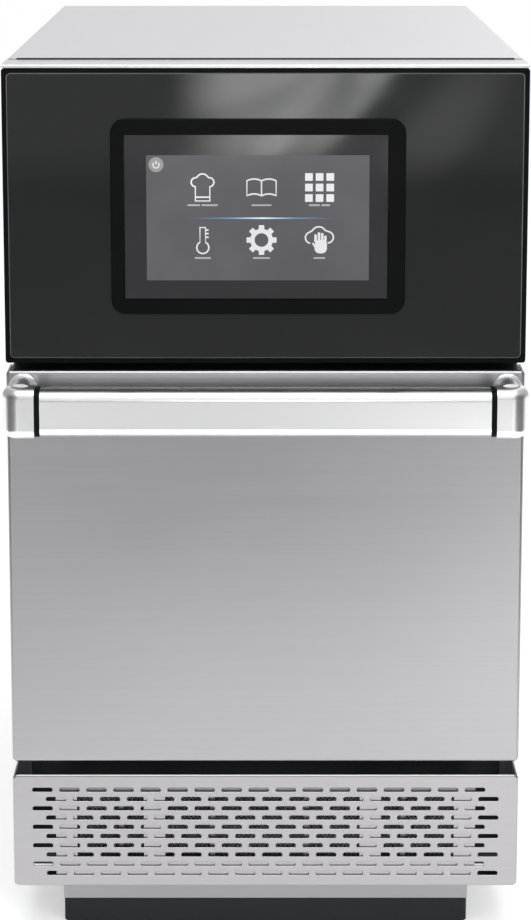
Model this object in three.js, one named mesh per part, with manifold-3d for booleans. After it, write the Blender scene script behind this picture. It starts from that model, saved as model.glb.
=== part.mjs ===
// A compact commercial high-speed counter oven with a drop-down door, built as a three.js scene graph.
// Millimetres, +Z up, the door faces -Y. The origin is on the counter, under the middle of the whole oven.
import * as THREE from "three";
import { mergeVertices } from "three/addons/utils/BufferGeometryUtils.js";
import Module from "manifold-3d";

const wasm = await Module();
wasm.setup();

// Driving dimensions of the whole oven.
const bodyWidth = 356;
const bodyDepth = 545; // door face to back panel
const footHeight = 18.5;
const plinthHeight = 17.5;
const grilleHeight = 82.5;
const lowerGap = 9.5; // between the vent cover and the door
const doorHeight = 281;
const upperGap = 5.5; // between the door and the fascia
const fasciaHeight = 202;
const capHeight = 3.5; // the steel lip over the fascia
const handleReach = 42; // door face to the front of the handle
const rearReach = 8; // back panel to the rear spacer's face
const cavitySideRoom = 22.5; // the body's side to the cavity
const cavityRearRoom = 194; // the cavity to the back panel's outer face
const mouthBelow = 37; // the door's bottom edge to the opening that it closes
const mouthAbove = 63; // the opening to the door's top edge
const roofRise = 26; // the opening's top to the cavity's roof

// Clearances and common stock.
const fit = 0.3; // between faces that touch on the real oven
const overrun = 2; // how far a cut passes the faces that it opens
const thinSheet = 1.2;
const thickSheet = 1.5;
const roundSteps = 3; // straight pieces in an arc
const fineSteps = 6; // the same, for larger arcs
const hexagon = 6;
const smallSides = 8;
const roundSides = 16;
const largeSides = 24;
const weld = 1e-4; // points this close are one

// Heights of the main fronts above the counter.
const baseZ = footHeight + plinthHeight;
const grilleTopZ = baseZ + grilleHeight;
const doorBottomZ = grilleTopZ + lowerGap;
const doorTopZ = doorBottomZ + doorHeight;
const fasciaBottomZ = doorTopZ + upperGap;
const fasciaTopZ = fasciaBottomZ + fasciaHeight;
const overallHeight = fasciaTopZ + capHeight;
const fasciaMiddleZ = (fasciaBottomZ + fasciaTopZ) / 2;

// Depths behind the door face. The front frame carries the door, the cavity, the fascia and the vent cover.
const frameFrontY = 40;
const frameBackY = frameFrontY + thickSheet;
const sideInnerX = bodyWidth / 2 - thinSheet - fit - thinSheet; // inner face of a side panel
const chassisHalfX = sideInnerX - fit; // half width of all that stands between the side panels
const panelBackY = bodyDepth - thickSheet; // inner face of the back panel

const materials = {
  brushedSteel: steel(0xb9babd, 0.34),
  polishedSteel: steel(0xd8d9dc, 0.16),
  satinAluminium: steel(0xe4e4e6, 0.3),
  darkSteel: steel(0x6d6f73, 0.45),
  blackSteel: plain(0x15181a, 0.5),
  blackGlass: plain(0x2b2d2e, 0.08),
  blackPlastic: plain(0x101412, 0.42),
  screenGlass: plain(0x4c4c50, 0.12),
  rubber: plain(0x1b1c1e, 0.8),
  insulation: plain(0xcfc39a, 0.95),
  ceramic: plain(0xe6e2da, 0.5),
  circuit: plain(0x2f6b45, 0.6),
};

const oven = new THREE.Group();
// The whole depth runs from the handle to the rear spacer, and its middle is over the origin.
oven.position.y = (handleReach - bodyDepth - rearReach) / 2;

function steel(color, roughness) {
  return new THREE.MeshStandardMaterial({ color, roughness, metalness: 1 });
}

function plain(color, roughness) {
  return new THREE.MeshStandardMaterial({ color, roughness, metalness: 0 });
}

// A three.js geometry as a solid that can be joined and cut.
function solidOf(geometry) {
  const bare = geometry.clone();
  for (const name of Object.keys(bare.attributes)) {
    if (name !== "position") bare.deleteAttribute(name);
  }
  const merged = mergeVertices(bare, weld);
  return new wasm.Manifold(
    new wasm.Mesh({
      numProp: 3,
      vertProperties: merged.attributes.position.array,
      triVerts: new Uint32Array(merged.index.array),
    }),
  );
}

// A solid as a geometry that a mesh can hold.
function geometryOf(solid) {
  const mesh = solid.getMesh();
  const geometry = new THREE.BufferGeometry();
  geometry.setAttribute("position", new THREE.BufferAttribute(new Float32Array(mesh.vertProperties), 3));
  geometry.setIndex(new THREE.BufferAttribute(new Uint32Array(mesh.triVerts), 1));
  geometry.computeVertexNormals();
  return geometry;
}

function add(name, shape, material) {
  const mesh = new THREE.Mesh(shape.isBufferGeometry ? shape : geometryOf(shape), material);
  mesh.name = name;
  oven.add(mesh);
  return mesh;
}

// The interval of a width set about a middle.
function about(width, middle = 0) {
  return [middle - width / 2, middle + width / 2];
}

// The interval that starts at a place and has a length.
function from(start, length) {
  return [start, start + length];
}

function mirrorX([low, high], side) {
  return side > 0 ? [low, high] : [-high, -low];
}

function block(xs, ys, zs) {
  const geometry = new THREE.BoxGeometry(xs[1] - xs[0], ys[1] - ys[0], zs[1] - zs[0]);
  geometry.translate((xs[0] + xs[1]) / 2, (ys[0] + ys[1]) / 2, (zs[0] + zs[1]) / 2);
  return solidOf(geometry);
}

function roundedPath(path, width, height, radius, centreX = 0, centreY = 0) {
  const x = width / 2;
  const y = height / 2;
  path.moveTo(centreX - x + radius, centreY - y);
  path.lineTo(centreX + x - radius, centreY - y);
  path.absarc(centreX + x - radius, centreY - y + radius, radius, -Math.PI / 2, 0);
  path.lineTo(centreX + x, centreY + y - radius);
  path.absarc(centreX + x - radius, centreY + y - radius, radius, 0, Math.PI / 2);
  path.lineTo(centreX - x + radius, centreY + y);
  path.absarc(centreX - x + radius, centreY + y - radius, radius, Math.PI / 2, Math.PI);
  path.lineTo(centreX - x, centreY - y + radius);
  path.absarc(centreX - x + radius, centreY - y + radius, radius, Math.PI, 1.5 * Math.PI);
  return path;
}

// three.js draws an arc with two straight pieces for each segment asked for.
function extruded(shape, length, steps = roundSteps) {
  return new THREE.ExtrudeGeometry(shape, { depth: length, bevelEnabled: false, curveSegments: steps / 2 });
}

// A shape drawn in x and z, as seen from the front, run along the depth.
function alongY(shape, ys, steps) {
  return extruded(shape, ys[1] - ys[0], steps).rotateX(Math.PI / 2).translate(0, ys[1], 0);
}

// A shape drawn in y and z, as seen from the right, run across the width.
function alongX(shape, xs, steps) {
  const geometry = extruded(shape, xs[1] - xs[0], steps);
  return geometry.rotateY(Math.PI / 2).rotateX(Math.PI / 2).translate(xs[0], 0, 0);
}

// A rounded plate that faces the front.
function plate(xs, ys, zs, radius, steps) {
  const shape = new THREE.Shape();
  roundedPath(shape, xs[1] - xs[0], zs[1] - zs[0], radius, (xs[0] + xs[1]) / 2, (zs[0] + zs[1]) / 2);
  return solidOf(alongY(shape, ys, steps));
}

function rodY(radius, x, z, ys, sides = roundSides) {
  const geometry = new THREE.CylinderGeometry(radius, radius, ys[1] - ys[0], sides);
  return solidOf(geometry.translate(x, (ys[0] + ys[1]) / 2, z));
}

function rodX(radius, y, z, xs, sides = roundSides) {
  const geometry = new THREE.CylinderGeometry(radius, radius, xs[1] - xs[0], sides).rotateZ(Math.PI / 2);
  return solidOf(geometry.translate((xs[0] + xs[1]) / 2, y, z));
}

function rodZ(radius, x, y, zs, sides = roundSides) {
  const geometry = new THREE.CylinderGeometry(radius, radius, zs[1] - zs[0], sides).rotateX(Math.PI / 2);
  return solidOf(geometry.translate(x, y, (zs[0] + zs[1]) / 2));
}

function join(first, ...rest) {
  return rest.reduce((whole, piece) => whole.add(piece), first);
}

function cut(first, ...rest) {
  return rest.reduce((whole, piece) => whole.subtract(piece), first);
}

// Each end drawn in or out by the same amount.
function grown([low, high], amount) {
  return [low - amount, high + amount];
}

// A slot with round ends, as a hole in a front-facing shape.
function slotPath(length, height, x, z) {
  const path = new THREE.Path();
  const run = length / 2 - height / 2;
  path.moveTo(x - run, z - height / 2);
  path.lineTo(x + run, z - height / 2);
  path.absarc(x + run, z, height / 2, -Math.PI / 2, Math.PI / 2);
  path.lineTo(x - run, z + height / 2);
  path.absarc(x - run, z, height / 2, Math.PI / 2, 1.5 * Math.PI);
  return path;
}

// Feet and plinth.
const plinthInset = 33.5; // from each side of the body
const plinthSetback = 20; // behind the door face
const plinthTailSetback = 20; // ahead of the back panel
const footRailDepth = 40;
const footRailInset = 2;
const footRailRadius = 5;
const basePanRim = 16;
const plinthWidth = bodyWidth - 2 * plinthInset;

function buildBase() {
  const plinthYs = [plinthSetback, bodyDepth - plinthTailSetback];
  const plinthZs = [footHeight, baseZ - fit];
  const plinthXs = about(plinthWidth);
  const hollow = block(
    grown(plinthXs, -thickSheet),
    grown(plinthYs, -thickSheet),
    [footHeight + thickSheet, baseZ + overrun],
  );
  add("plinth", cut(block(plinthXs, plinthYs, plinthZs), hollow), materials.brushedSteel);

  const railZs = [0, footHeight - fit];
  const railMiddles = {
    foot_rail_front: plinthYs[0] + footRailInset + footRailDepth / 2,
    foot_rail_rear: plinthYs[1] - footRailInset - footRailDepth / 2,
  };
  for (const [name, middle] of Object.entries(railMiddles)) {
    const outline = roundedPath(new THREE.Shape(), plinthWidth, footRailDepth, footRailRadius, 0, middle);
    add(name, extruded(outline, railZs[1] - railZs[0]), materials.rubber);
  }

  const panXs = about(2 * chassisHalfX);
  const panYs = [frameBackY + fit, panelBackY - fit];
  const pan = block(panXs, panYs, [baseZ, baseZ + basePanRim]);
  const panHollow = block(
    grown(panXs, -thickSheet),
    grown(panYs, -thickSheet),
    [baseZ + thickSheet, baseZ + basePanRim + overrun],
  );
  add("base_pan", cut(pan, panHollow), materials.darkSteel);
}

// Casing: two side panels, a folded top cover that laps over them, and the back panel.
const coverFlange = 22;
const coverBend = 3;
const coverGap = 1.5; // the groove between the fascia's cap and the top cover
const ventSlotLength = 70;
const ventSlotHeight = 3.5;
const ventRowPitch = 12;
const ventRows = 12;
const ventColumnOffset = 58;
const ventTopDrop = 45; // from the top of the oven to the first row of rear vents
const glandInset = 58; // the body's side to the gland's middle
const glandRise = 48; // above the base
const glandBarrelRadius = 10.7;
const glandFlangeRadius = 15;
const glandBoreRadius = 5;
const glandNutDepth = 6;
const spacerWidth = 180;
const spacerHeight = 16;
const spacerRise = 190; // above the base
const glandX = bodyWidth / 2 - glandInset;

function buildSidePanels() {
  const panelZs = [baseZ, overallHeight - coverBend];
  const panelYs = [frameFrontY, panelBackY - fit];
  for (const [name, side] of [["left_side_panel", -1], ["right_side_panel", 1]]) {
    add(name, block(mirrorX(from(sideInnerX, thinSheet), side), panelYs, panelZs), materials.brushedSteel);
  }
}

function buildTopCover() {
  const half = bodyWidth / 2;
  const inner = half - thinSheet;
  const bottom = overallHeight - coverFlange;
  const bendZ = overallHeight - coverBend;
  const bendInner = coverBend - thinSheet;
  const profile = new THREE.Shape();
  profile.moveTo(half, bottom);
  profile.lineTo(half, bendZ);
  profile.absarc(half - coverBend, bendZ, coverBend, 0, Math.PI / 2);
  profile.lineTo(-half + coverBend, overallHeight);
  profile.absarc(-half + coverBend, bendZ, coverBend, Math.PI / 2, Math.PI);
  profile.lineTo(-half, bottom);
  profile.lineTo(-inner, bottom);
  profile.lineTo(-inner, bendZ);
  profile.absarc(-inner + bendInner, bendZ, bendInner, Math.PI, Math.PI / 2, true);
  profile.lineTo(inner - bendInner, overallHeight - thinSheet);
  profile.absarc(inner - bendInner, bendZ, bendInner, Math.PI / 2, 0, true);
  profile.lineTo(inner, bottom);
  add("top_cover", alongY(profile, [frameFrontY - fit, bodyDepth]), materials.brushedSteel);
}

function buildBackPanel() {
  const halfWidth = bodyWidth / 2 - thinSheet - fit;
  const height = overallHeight - coverBend - fit - baseZ;
  const shape = new THREE.Shape();
  roundedPath(shape, 2 * halfWidth, height, coverBend - thinSheet, 0, baseZ + height / 2);
  for (const side of [-1, 1]) {
    for (let row = 0; row < ventRows; row += 1) {
      const z = overallHeight - ventTopDrop - row * ventRowPitch;
      shape.holes.push(slotPath(ventSlotLength, ventSlotHeight, side * ventColumnOffset, z));
    }
  }
  const ys = [panelBackY, bodyDepth];
  const glandHole = rodY(glandBarrelRadius + fit, glandX, baseZ + glandRise, grown(ys, overrun));
  add("back_panel", cut(solidOf(alongY(shape, ys)), glandHole), materials.brushedSteel);
}

function buildRearFittings() {
  const z = baseZ + glandRise;
  const ys = [panelBackY - fit - glandNutDepth, bodyDepth + rearReach];
  const gland = join(
    rodY(glandBarrelRadius, glandX, z, ys),
    rodY(glandFlangeRadius, glandX, z, [bodyDepth + fit, bodyDepth + rearReach / 2], hexagon),
    rodY(glandFlangeRadius, glandX, z, from(ys[0], glandNutDepth), hexagon),
  );
  const bore = rodY(glandBoreRadius, glandX, z, grown(ys, overrun));
  add("cable_gland", cut(gland, bore), materials.blackPlastic);

  const spacerYs = [bodyDepth + fit, bodyDepth + rearReach];
  const spacerZs = from(baseZ + spacerRise, spacerHeight);
  const spacer = plate(about(spacerWidth), spacerYs, spacerZs, spacerHeight / 4);
  add("rear_spacer", spacer, materials.rubber);
}

// Cavity and its liner pieces.
const cavitySheet = 1;
const cavityFrontY = frameFrontY - fit - cavitySheet; // front of the cavity's flange
const cavityFlangeSide = 12.5;
const cavityFlangeBelow = 13;
const cavityFlangeAbove = 39;
const ledgeReach = 5.3;
const ledgeLengthShare = 0.9; // of the cavity's depth that the side ledges run
const ceramicThickness = 5;
const ceramicRise = 11; // cavity floor to the underside of the ceramic plate
const couplingHoleRadius = 30;
const runnerRise = 22; // cavity floor to the top of the shelf ledges
const impingerThickness = 2;
const impingerHoleRadius = 6;
const impingerHoles = 5; // along each side
const impingerFieldShare = 0.8; // of the plate's side that the holes spread over
const fanRiseShare = 0.5525; // cavity floor to the middle of the fan, of the opening's height
const fanIntakeShare = 0.3425; // radii, of the opening's height
const guardRadiusShare = 0.42;
const guardInnerShare = 0.1;
const guardOuterShare = 0.32;
const returnSlotInset = 55; // from each side of the cavity
const returnSlotMargin = 4; // above and below the slot that feeds the jet plate
const guardSlots = 12;
const guardSlotWidth = 8;
const insulationThickness = 20;
const insulationSetback = 14.3; // from the front frame's back face

const cavityWidth = bodyWidth - 2 * cavitySideRoom;
const cavityRearY = bodyDepth - cavityRearRoom;
const cavityDepth = cavityRearY - cavityFrontY - cavitySheet - fit;
const cavityMiddleY = cavityRearY - cavityDepth / 2;
const cavityFloorZ = doorBottomZ + mouthBelow;
const mouthZs = [cavityFloorZ, doorTopZ - mouthAbove];
const mouthHeight = mouthZs[1] - mouthZs[0];
const cavityRoofZ = mouthZs[1] + roofRise;
const tubeXs = about(cavityWidth + 2 * cavitySheet);
const tubeZs = [cavityFloorZ - cavitySheet, cavityRoofZ + cavitySheet];
const fanMiddleZ = cavityFloorZ + mouthHeight * fanRiseShare;

function ledge(side, topZ) {
  const xs = mirrorX([cavityWidth / 2 - ledgeReach, cavityWidth / 2 + cavitySheet / 2], side);
  const ys = about(cavityDepth * ledgeLengthShare, cavityMiddleY);
  return block(xs, ys, [topZ - cavitySheet, topZ]);
}

function buildCavity() {
  const flange = block(
    grown(about(cavityWidth), cavityFlangeSide),
    from(cavityFrontY, cavitySheet),
    [mouthZs[0] - cavityFlangeBelow, mouthZs[1] + cavityFlangeAbove],
  );
  const tube = block(tubeXs, [cavityFrontY, cavityRearY + cavitySheet], tubeZs);
  const mouthYs = grown([cavityFrontY, cavityFrontY + cavitySheet], overrun);
  const mouth = block(about(cavityWidth), mouthYs, mouthZs);
  const inside = block(
    about(cavityWidth),
    [cavityFrontY + cavitySheet, cavityRearY],
    [cavityFloorZ, cavityRoofZ],
  );
  const ledges = [-1, 1].flatMap((side) => [
    ledge(side, cavityFloorZ + ceramicRise - fit),
    ledge(side, cavityFloorZ + runnerRise),
    ledge(side, mouthZs[1] - fit),
  ]);
  const rearYs = grown([cavityRearY, cavityRearY + cavitySheet], overrun);
  const returnSlot = block(
    grown(about(cavityWidth), -returnSlotInset),
    rearYs,
    [mouthZs[1] + impingerThickness + returnSlotMargin, cavityRoofZ - returnSlotMargin],
  );
  const intake = rodY(mouthHeight * fanIntakeShare, 0, fanMiddleZ, rearYs, largeSides);
  const coupling = rodZ(couplingHoleRadius, 0, cavityMiddleY, grown([tubeZs[0], cavityFloorZ], overrun));
  const liner = cut(join(flange, tube), mouth, inside, returnSlot, intake, coupling);
  add("cavity", join(liner, ...ledges), materials.polishedSteel);
}

function buildCavityPlates() {
  const ceramicXs = about(cavityWidth - 2 * fit);
  const ceramicYs = [plugBackY + plugRoom, cavityRearY - fit];
  const ceramicZs = from(cavityFloorZ + ceramicRise, ceramicThickness);
  add("ceramic_floor", block(ceramicXs, ceramicYs, ceramicZs), materials.ceramic);

  const jet = new THREE.Shape();
  const jetYs = [cavityFrontY + cavitySheet + fit, cavityRearY - fit];
  const jetMiddleY = (jetYs[0] + jetYs[1]) / 2;
  roundedPath(jet, cavityWidth - 2 * fit, jetYs[1] - jetYs[0], impingerHoleRadius, 0, jetMiddleY);
  const pitchX = (cavityWidth * impingerFieldShare) / impingerHoles;
  const pitchY = (cavityDepth * impingerFieldShare) / impingerHoles;
  for (let row = 0; row < impingerHoles; row += 1) {
    for (let column = 0; column < impingerHoles; column += 1) {
      const x = (column - (impingerHoles - 1) / 2) * pitchX;
      const y = cavityMiddleY + (row - (impingerHoles - 1) / 2) * pitchY;
      jet.holes.push(new THREE.Path().absarc(x, y, impingerHoleRadius, 0, 2 * Math.PI));
    }
  }
  const jetPlate = extruded(jet, impingerThickness, smallSides).translate(0, 0, mouthZs[1]);
  add("impinger_plate", jetPlate, materials.polishedSteel);
}

function buildFanGuard() {
  const guardYs = [cavityRearY - fit - thickSheet, cavityRearY - fit];
  const guardMiddleY = (guardYs[0] + guardYs[1]) / 2;
  const slotRadii = [mouthHeight * guardInnerShare, mouthHeight * guardOuterShare];
  const guardCuts = [];
  for (let step = 0; step < guardSlots; step += 1) {
    const slot = new THREE.BoxGeometry(slotRadii[1] - slotRadii[0], 2 * overrun, guardSlotWidth);
    slot.translate((slotRadii[0] + slotRadii[1]) / 2, 0, 0);
    slot.rotateY((step / guardSlots) * 2 * Math.PI);
    slot.translate(0, guardMiddleY, fanMiddleZ);
    guardCuts.push(solidOf(slot));
  }
  const disc = rodY(mouthHeight * guardRadiusShare, 0, fanMiddleZ, guardYs, largeSides);
  add("fan_guard", cut(disc, ...guardCuts), materials.polishedSteel);
}

function buildCavityInsulation() {
  const innerX = tubeXs[1] + fit;
  const outerX = chassisHalfX - fit;
  const roofZ = tubeZs[1] + fit;
  const wrap = new THREE.Shape();
  wrap.moveTo(-outerX, cavityFloorZ);
  wrap.lineTo(-innerX, cavityFloorZ);
  wrap.lineTo(-innerX, roofZ);
  wrap.lineTo(innerX, roofZ);
  wrap.lineTo(innerX, cavityFloorZ);
  wrap.lineTo(outerX, cavityFloorZ);
  wrap.lineTo(outerX, roofZ + insulationThickness);
  wrap.lineTo(-outerX, roofZ + insulationThickness);
  wrap.closePath();
  const wrapYs = [frameBackY + insulationSetback, cavityRearY + cavitySheet];
  add("cavity_insulation", alongY(wrap, wrapYs), materials.insulation);
}

// The cook plate lies on the cavity's middle ledges.
const cookPlateRim = 8;
const cookPlateSheet = 2;
const cookPlateMargin = 2; // to each side wall
const cookPlateEndMargin = 12; // to the door's plug and the fan guard

function buildCookPlate() {
  const xs = about(cavityWidth - 2 * cookPlateMargin);
  const ys = [plugBackY + cookPlateEndMargin, cavityRearY - cookPlateEndMargin];
  const zs = from(cavityFloorZ + runnerRise + fit, cookPlateRim);
  const dish = block(grown(xs, -cookPlateSheet), grown(ys, -cookPlateSheet), [
    zs[0] + cookPlateSheet,
    zs[1] + overrun,
  ]);
  add("cook_plate", cut(block(xs, ys, zs), dish), materials.darkSteel);
}

// Hot air: a centrifugal impeller in a box behind the cavity, with a ring heater round it.
const plenumInset = 30.5; // from each side of the cavity
const plenumDepth = 53;
const plenumSheet = 1;
const plenumBelowShare = 0.508; // fan centre to the underside of the box, of the opening's height
const impellerShare = 0.387; // radii, of the opening's height
const heaterShare = 0.464;
const impellerDisc = 2;
const impellerBladeDepth = 26;
const impellerBladeLength = 30;
const impellerBlades = 8;
const impellerSetback = 8; // from the cavity's rear face
const hubRadius = 14;
const shaftRadius = 5;
const shaftLength = 62;
const motorRadius = 40;
const motorLength = 66;
const heaterTubeRadius = 4;
const heaterTerminalSpread = 24;
const heaterTerminalLength = 40;

const impellerRadius = mouthHeight * impellerShare;
const heaterRadius = mouthHeight * heaterShare;
const plenumXs = grown(about(cavityWidth), -plenumInset);
const plenumYs = from(cavityRearY + cavitySheet + fit, plenumDepth);
const bladeYs = from(plenumYs[0] + impellerSetback, impellerBladeDepth);
const discYs = from(bladeYs[1], impellerDisc);
const shaftYs = from(discYs[1] - impellerDisc / 2, shaftLength);
const heaterY = (plenumYs[0] + plenumYs[1]) / 2;

// Two rods at the heater's lowest point, as its terminals or as the holes for them.
function heaterTerminals(radius, ys) {
  const z = fanMiddleZ - Math.sqrt(heaterRadius ** 2 - (heaterTerminalSpread / 2) ** 2);
  return [-1, 1].map((side) => rodY(radius, (side * heaterTerminalSpread) / 2, z, ys, smallSides));
}

function buildPlenum() {
  const zs = [fanMiddleZ - mouthHeight * plenumBelowShare, cavityRoofZ - fit];
  const shell = block(plenumXs, plenumYs, zs);
  const hollow = block(
    grown(plenumXs, -plenumSheet),
    [plenumYs[0] - overrun, plenumYs[1] - plenumSheet],
    grown(zs, -plenumSheet),
  );
  const holeYs = grown([plenumYs[1] - plenumSheet, plenumYs[1]], overrun);
  const shaftHole = rodY(shaftRadius + overrun, 0, fanMiddleZ, holeYs);
  const terminalHoles = heaterTerminals(heaterTubeRadius + fit, holeYs);
  add("fan_plenum", cut(shell, hollow, shaftHole, ...terminalHoles), materials.darkSteel);
}

function buildImpeller() {
  const pieces = [
    rodY(impellerRadius, 0, fanMiddleZ, discYs, largeSides),
    rodY(hubRadius, 0, fanMiddleZ, [bladeYs[0], discYs[1]]),
    rodY(shaftRadius, 0, fanMiddleZ, shaftYs),
  ];
  for (let step = 0; step < impellerBlades; step += 1) {
    const blade = new THREE.BoxGeometry(impellerBladeLength, impellerBladeDepth, impellerDisc);
    blade.translate(impellerRadius - impellerBladeLength / 2 - impellerDisc, 0, 0);
    blade.rotateY((step / impellerBlades) * 2 * Math.PI);
    blade.translate(0, (bladeYs[0] + discYs[1]) / 2, fanMiddleZ);
    pieces.push(solidOf(blade));
  }
  add("convection_fan", join(...pieces), materials.darkSteel);
}

function buildFanMotor() {
  const ys = from(plenumYs[1] + fit, motorLength);
  const earXs = about(2 * motorRadius + hubRadius);
  const motor = join(
    rodY(motorRadius, 0, fanMiddleZ, ys, largeSides),
    block(earXs, from(ys[0], thickSheet), about(hubRadius, fanMiddleZ)),
  );
  const bore = rodY(shaftRadius + fit, 0, fanMiddleZ, [ys[0] - overrun, shaftYs[1] + fit]);
  add("fan_motor", cut(motor, bore), materials.darkSteel);
}

function buildHeater() {
  const ring = new THREE.TorusGeometry(heaterRadius, heaterTubeRadius, hexagon, largeSides);
  ring.rotateX(Math.PI / 2).translate(0, heaterY, fanMiddleZ);
  const terminals = heaterTerminals(heaterTubeRadius, from(heaterY, heaterTerminalLength));
  add("heater_element", join(solidOf(ring), ...terminals), materials.darkSteel);
}

// Microwave feed under the cavity floor: magnetron, waveguide and the turning stirrer.
const waveguideHeight = 25;
const waveguideDepth = 84;
const waveguideLeft = 45;
const waveguideRight = 125;
const magnetronX = 84;
const magnetronWidth = 78;
const magnetronDepth = 90;
const magnetronHeight = 76;
const magnetronFins = 6;
const magnetronFinOverhang = 7;
const antennaRadius = 8;
const antennaRise = 16;
const stirrerShaftRadius = 3;
const stirrerHubRadius = 10;
const stirrerArms = 3;
const stirrerArmLength = 62;
const stirrerArmWidth = 34;
const stirrerRise = 3; // cavity floor to the stirrer's underside
const stirrerMotorRadius = 25;
const stirrerMotorHeight = 15;
const stirrerShaftDip = 8; // how far the shaft enters its motor

const waveguideZs = [tubeZs[0] - fit - waveguideHeight, tubeZs[0] - fit];
const stirrerMotorZs = [waveguideZs[0] - fit - stirrerMotorHeight, waveguideZs[0] - fit];
const stirrerShaftBottomZ = stirrerMotorZs[1] - stirrerShaftDip;

function buildWaveguide() {
  const ys = about(waveguideDepth, cavityMiddleY);
  const xs = [-waveguideLeft, waveguideRight];
  const hollow = block(grown(xs, -thinSheet), grown(ys, -thinSheet), grown(waveguideZs, -thinSheet));
  const roofCut = grown([waveguideZs[1] - thinSheet, waveguideZs[1]], overrun);
  const floorCut = grown([waveguideZs[0], waveguideZs[0] + thinSheet], overrun);
  const guide = cut(
    block(xs, ys, waveguideZs),
    hollow,
    rodZ(couplingHoleRadius, 0, cavityMiddleY, roofCut),
    rodZ(antennaRadius + overrun, magnetronX, cavityMiddleY, floorCut),
    rodZ(stirrerShaftRadius + overrun, 0, cavityMiddleY, floorCut),
  );
  add("waveguide", guide, materials.brushedSteel);
}

function buildMagnetron() {
  const zs = [waveguideZs[0] - fit - magnetronHeight, waveguideZs[0] - fit];
  const windowZs = grown(zs, -magnetronFinOverhang);
  const ys = about(magnetronDepth, cavityMiddleY);
  const yoke = cut(
    block(about(magnetronWidth, magnetronX), ys, zs),
    block(about(magnetronWidth - 2 * magnetronFinOverhang, magnetronX), grown(ys, overrun), windowZs),
  );
  const finXs = about(magnetronWidth - magnetronFinOverhang, magnetronX);
  const finYs = grown(ys, -magnetronFinOverhang);
  const finPitch = (windowZs[1] - windowZs[0]) / (magnetronFins + 1);
  const fins = [];
  for (let step = 1; step <= magnetronFins; step += 1) {
    fins.push(block(finXs, finYs, about(cavitySheet, windowZs[0] + step * finPitch)));
  }
  const core = rodZ(magnetronWidth / 4, magnetronX, cavityMiddleY, grown(zs, -cavitySheet));
  const antennaZs = [zs[1] - cavitySheet, zs[1] + antennaRise];
  const antenna = rodZ(antennaRadius, magnetronX, cavityMiddleY, antennaZs);
  add("magnetron", join(yoke, core, antenna, ...fins), materials.brushedSteel);
}

function buildStirrer() {
  const boreZs = [stirrerShaftBottomZ - fit, stirrerMotorZs[1] + overrun];
  const bore = rodZ(stirrerShaftRadius + fit, 0, cavityMiddleY, boreZs);
  const motorBody = rodZ(stirrerMotorRadius, 0, cavityMiddleY, stirrerMotorZs, largeSides);
  add("stirrer_motor", cut(motorBody, bore), materials.brushedSteel);

  const armZs = from(cavityFloorZ + stirrerRise, thinSheet);
  const pieces = [
    rodZ(stirrerShaftRadius, 0, cavityMiddleY, [stirrerShaftBottomZ, armZs[1]]),
    rodZ(stirrerHubRadius, 0, cavityMiddleY, armZs),
  ];
  for (let step = 0; step < stirrerArms; step += 1) {
    const arm = new THREE.BoxGeometry(stirrerArmLength, stirrerArmWidth, thinSheet);
    arm.translate(stirrerArmLength / 2, 0, 0);
    arm.rotateZ((step / stirrerArms) * 2 * Math.PI);
    arm.translate(0, cavityMiddleY, (armZs[0] + armZs[1]) / 2);
    pieces.push(solidOf(arm));
  }
  add("mode_stirrer", join(...pieces), materials.satinAluminium);
}

// Cooling: an axial fan behind the vent cover.
const coolerSize = 92;
const coolerDepth = 25;
const coolerX = -70;
const coolerSetback = 28; // from the front frame's back face
const coolerBoreRadius = 42;
const coolerHubRadius = 17;
const coolerStatorDepth = 5;
const coolerStrutWidth = 4;
const coolerBlades = 7;
const coolerBladeGap = 2;
const coolerBladeThickness = 1.5;
const coolerBladeTilt = 0.6; // radians
const coolerPinRadius = 2;

function buildCooler() {
  const z = baseZ + thickSheet + fit + coolerSize / 2;
  const ys = from(frameBackY + coolerSetback, coolerDepth);
  const statorYs = [ys[1] - coolerStatorDepth, ys[1]];
  const frame = cut(
    block(about(coolerSize, coolerX), ys, about(coolerSize, z)),
    rodY(coolerBoreRadius, coolerX, z, grown(ys, overrun), largeSides),
  );
  const struts = [
    block(about(2 * coolerBoreRadius + overrun, coolerX), statorYs, about(coolerStrutWidth, z)),
    block(about(coolerStrutWidth, coolerX), statorYs, about(2 * coolerBoreRadius + overrun, z)),
  ];
  const pinDip = coolerStatorDepth / 2;
  const housing = cut(
    join(frame, rodY(coolerHubRadius, coolerX, z, statorYs), ...struts),
    rodY(coolerPinRadius + fit, coolerX, z, [statorYs[0] - overrun, statorYs[0] + pinDip + fit], smallSides),
  );
  add("cooling_fan_housing", housing, materials.blackPlastic);

  const rotorYs = [ys[0] + fit, statorYs[0] - fit];
  const bladeRun = rotorYs[1] - rotorYs[0] - 2 * coolerBladeGap;
  const bladeLength = coolerBoreRadius - coolerBladeGap - coolerHubRadius / 2;
  const pieces = [
    rodY(coolerHubRadius, coolerX, z, rotorYs),
    rodY(coolerPinRadius, coolerX, z, [rotorYs[1] - overrun, statorYs[0] + pinDip], smallSides),
  ];
  for (let step = 0; step < coolerBlades; step += 1) {
    const blade = new THREE.BoxGeometry(bladeLength, bladeRun, coolerBladeThickness);
    blade.rotateX(coolerBladeTilt);
    blade.translate(coolerHubRadius / 2 + bladeLength / 2, 0, 0);
    blade.rotateY((step / coolerBlades) * 2 * Math.PI);
    blade.translate(coolerX, (rotorYs[0] + rotorYs[1]) / 2, z);
    pieces.push(solidOf(blade));
  }
  add("cooling_fan_rotor", join(...pieces), materials.blackPlastic);
}

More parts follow.
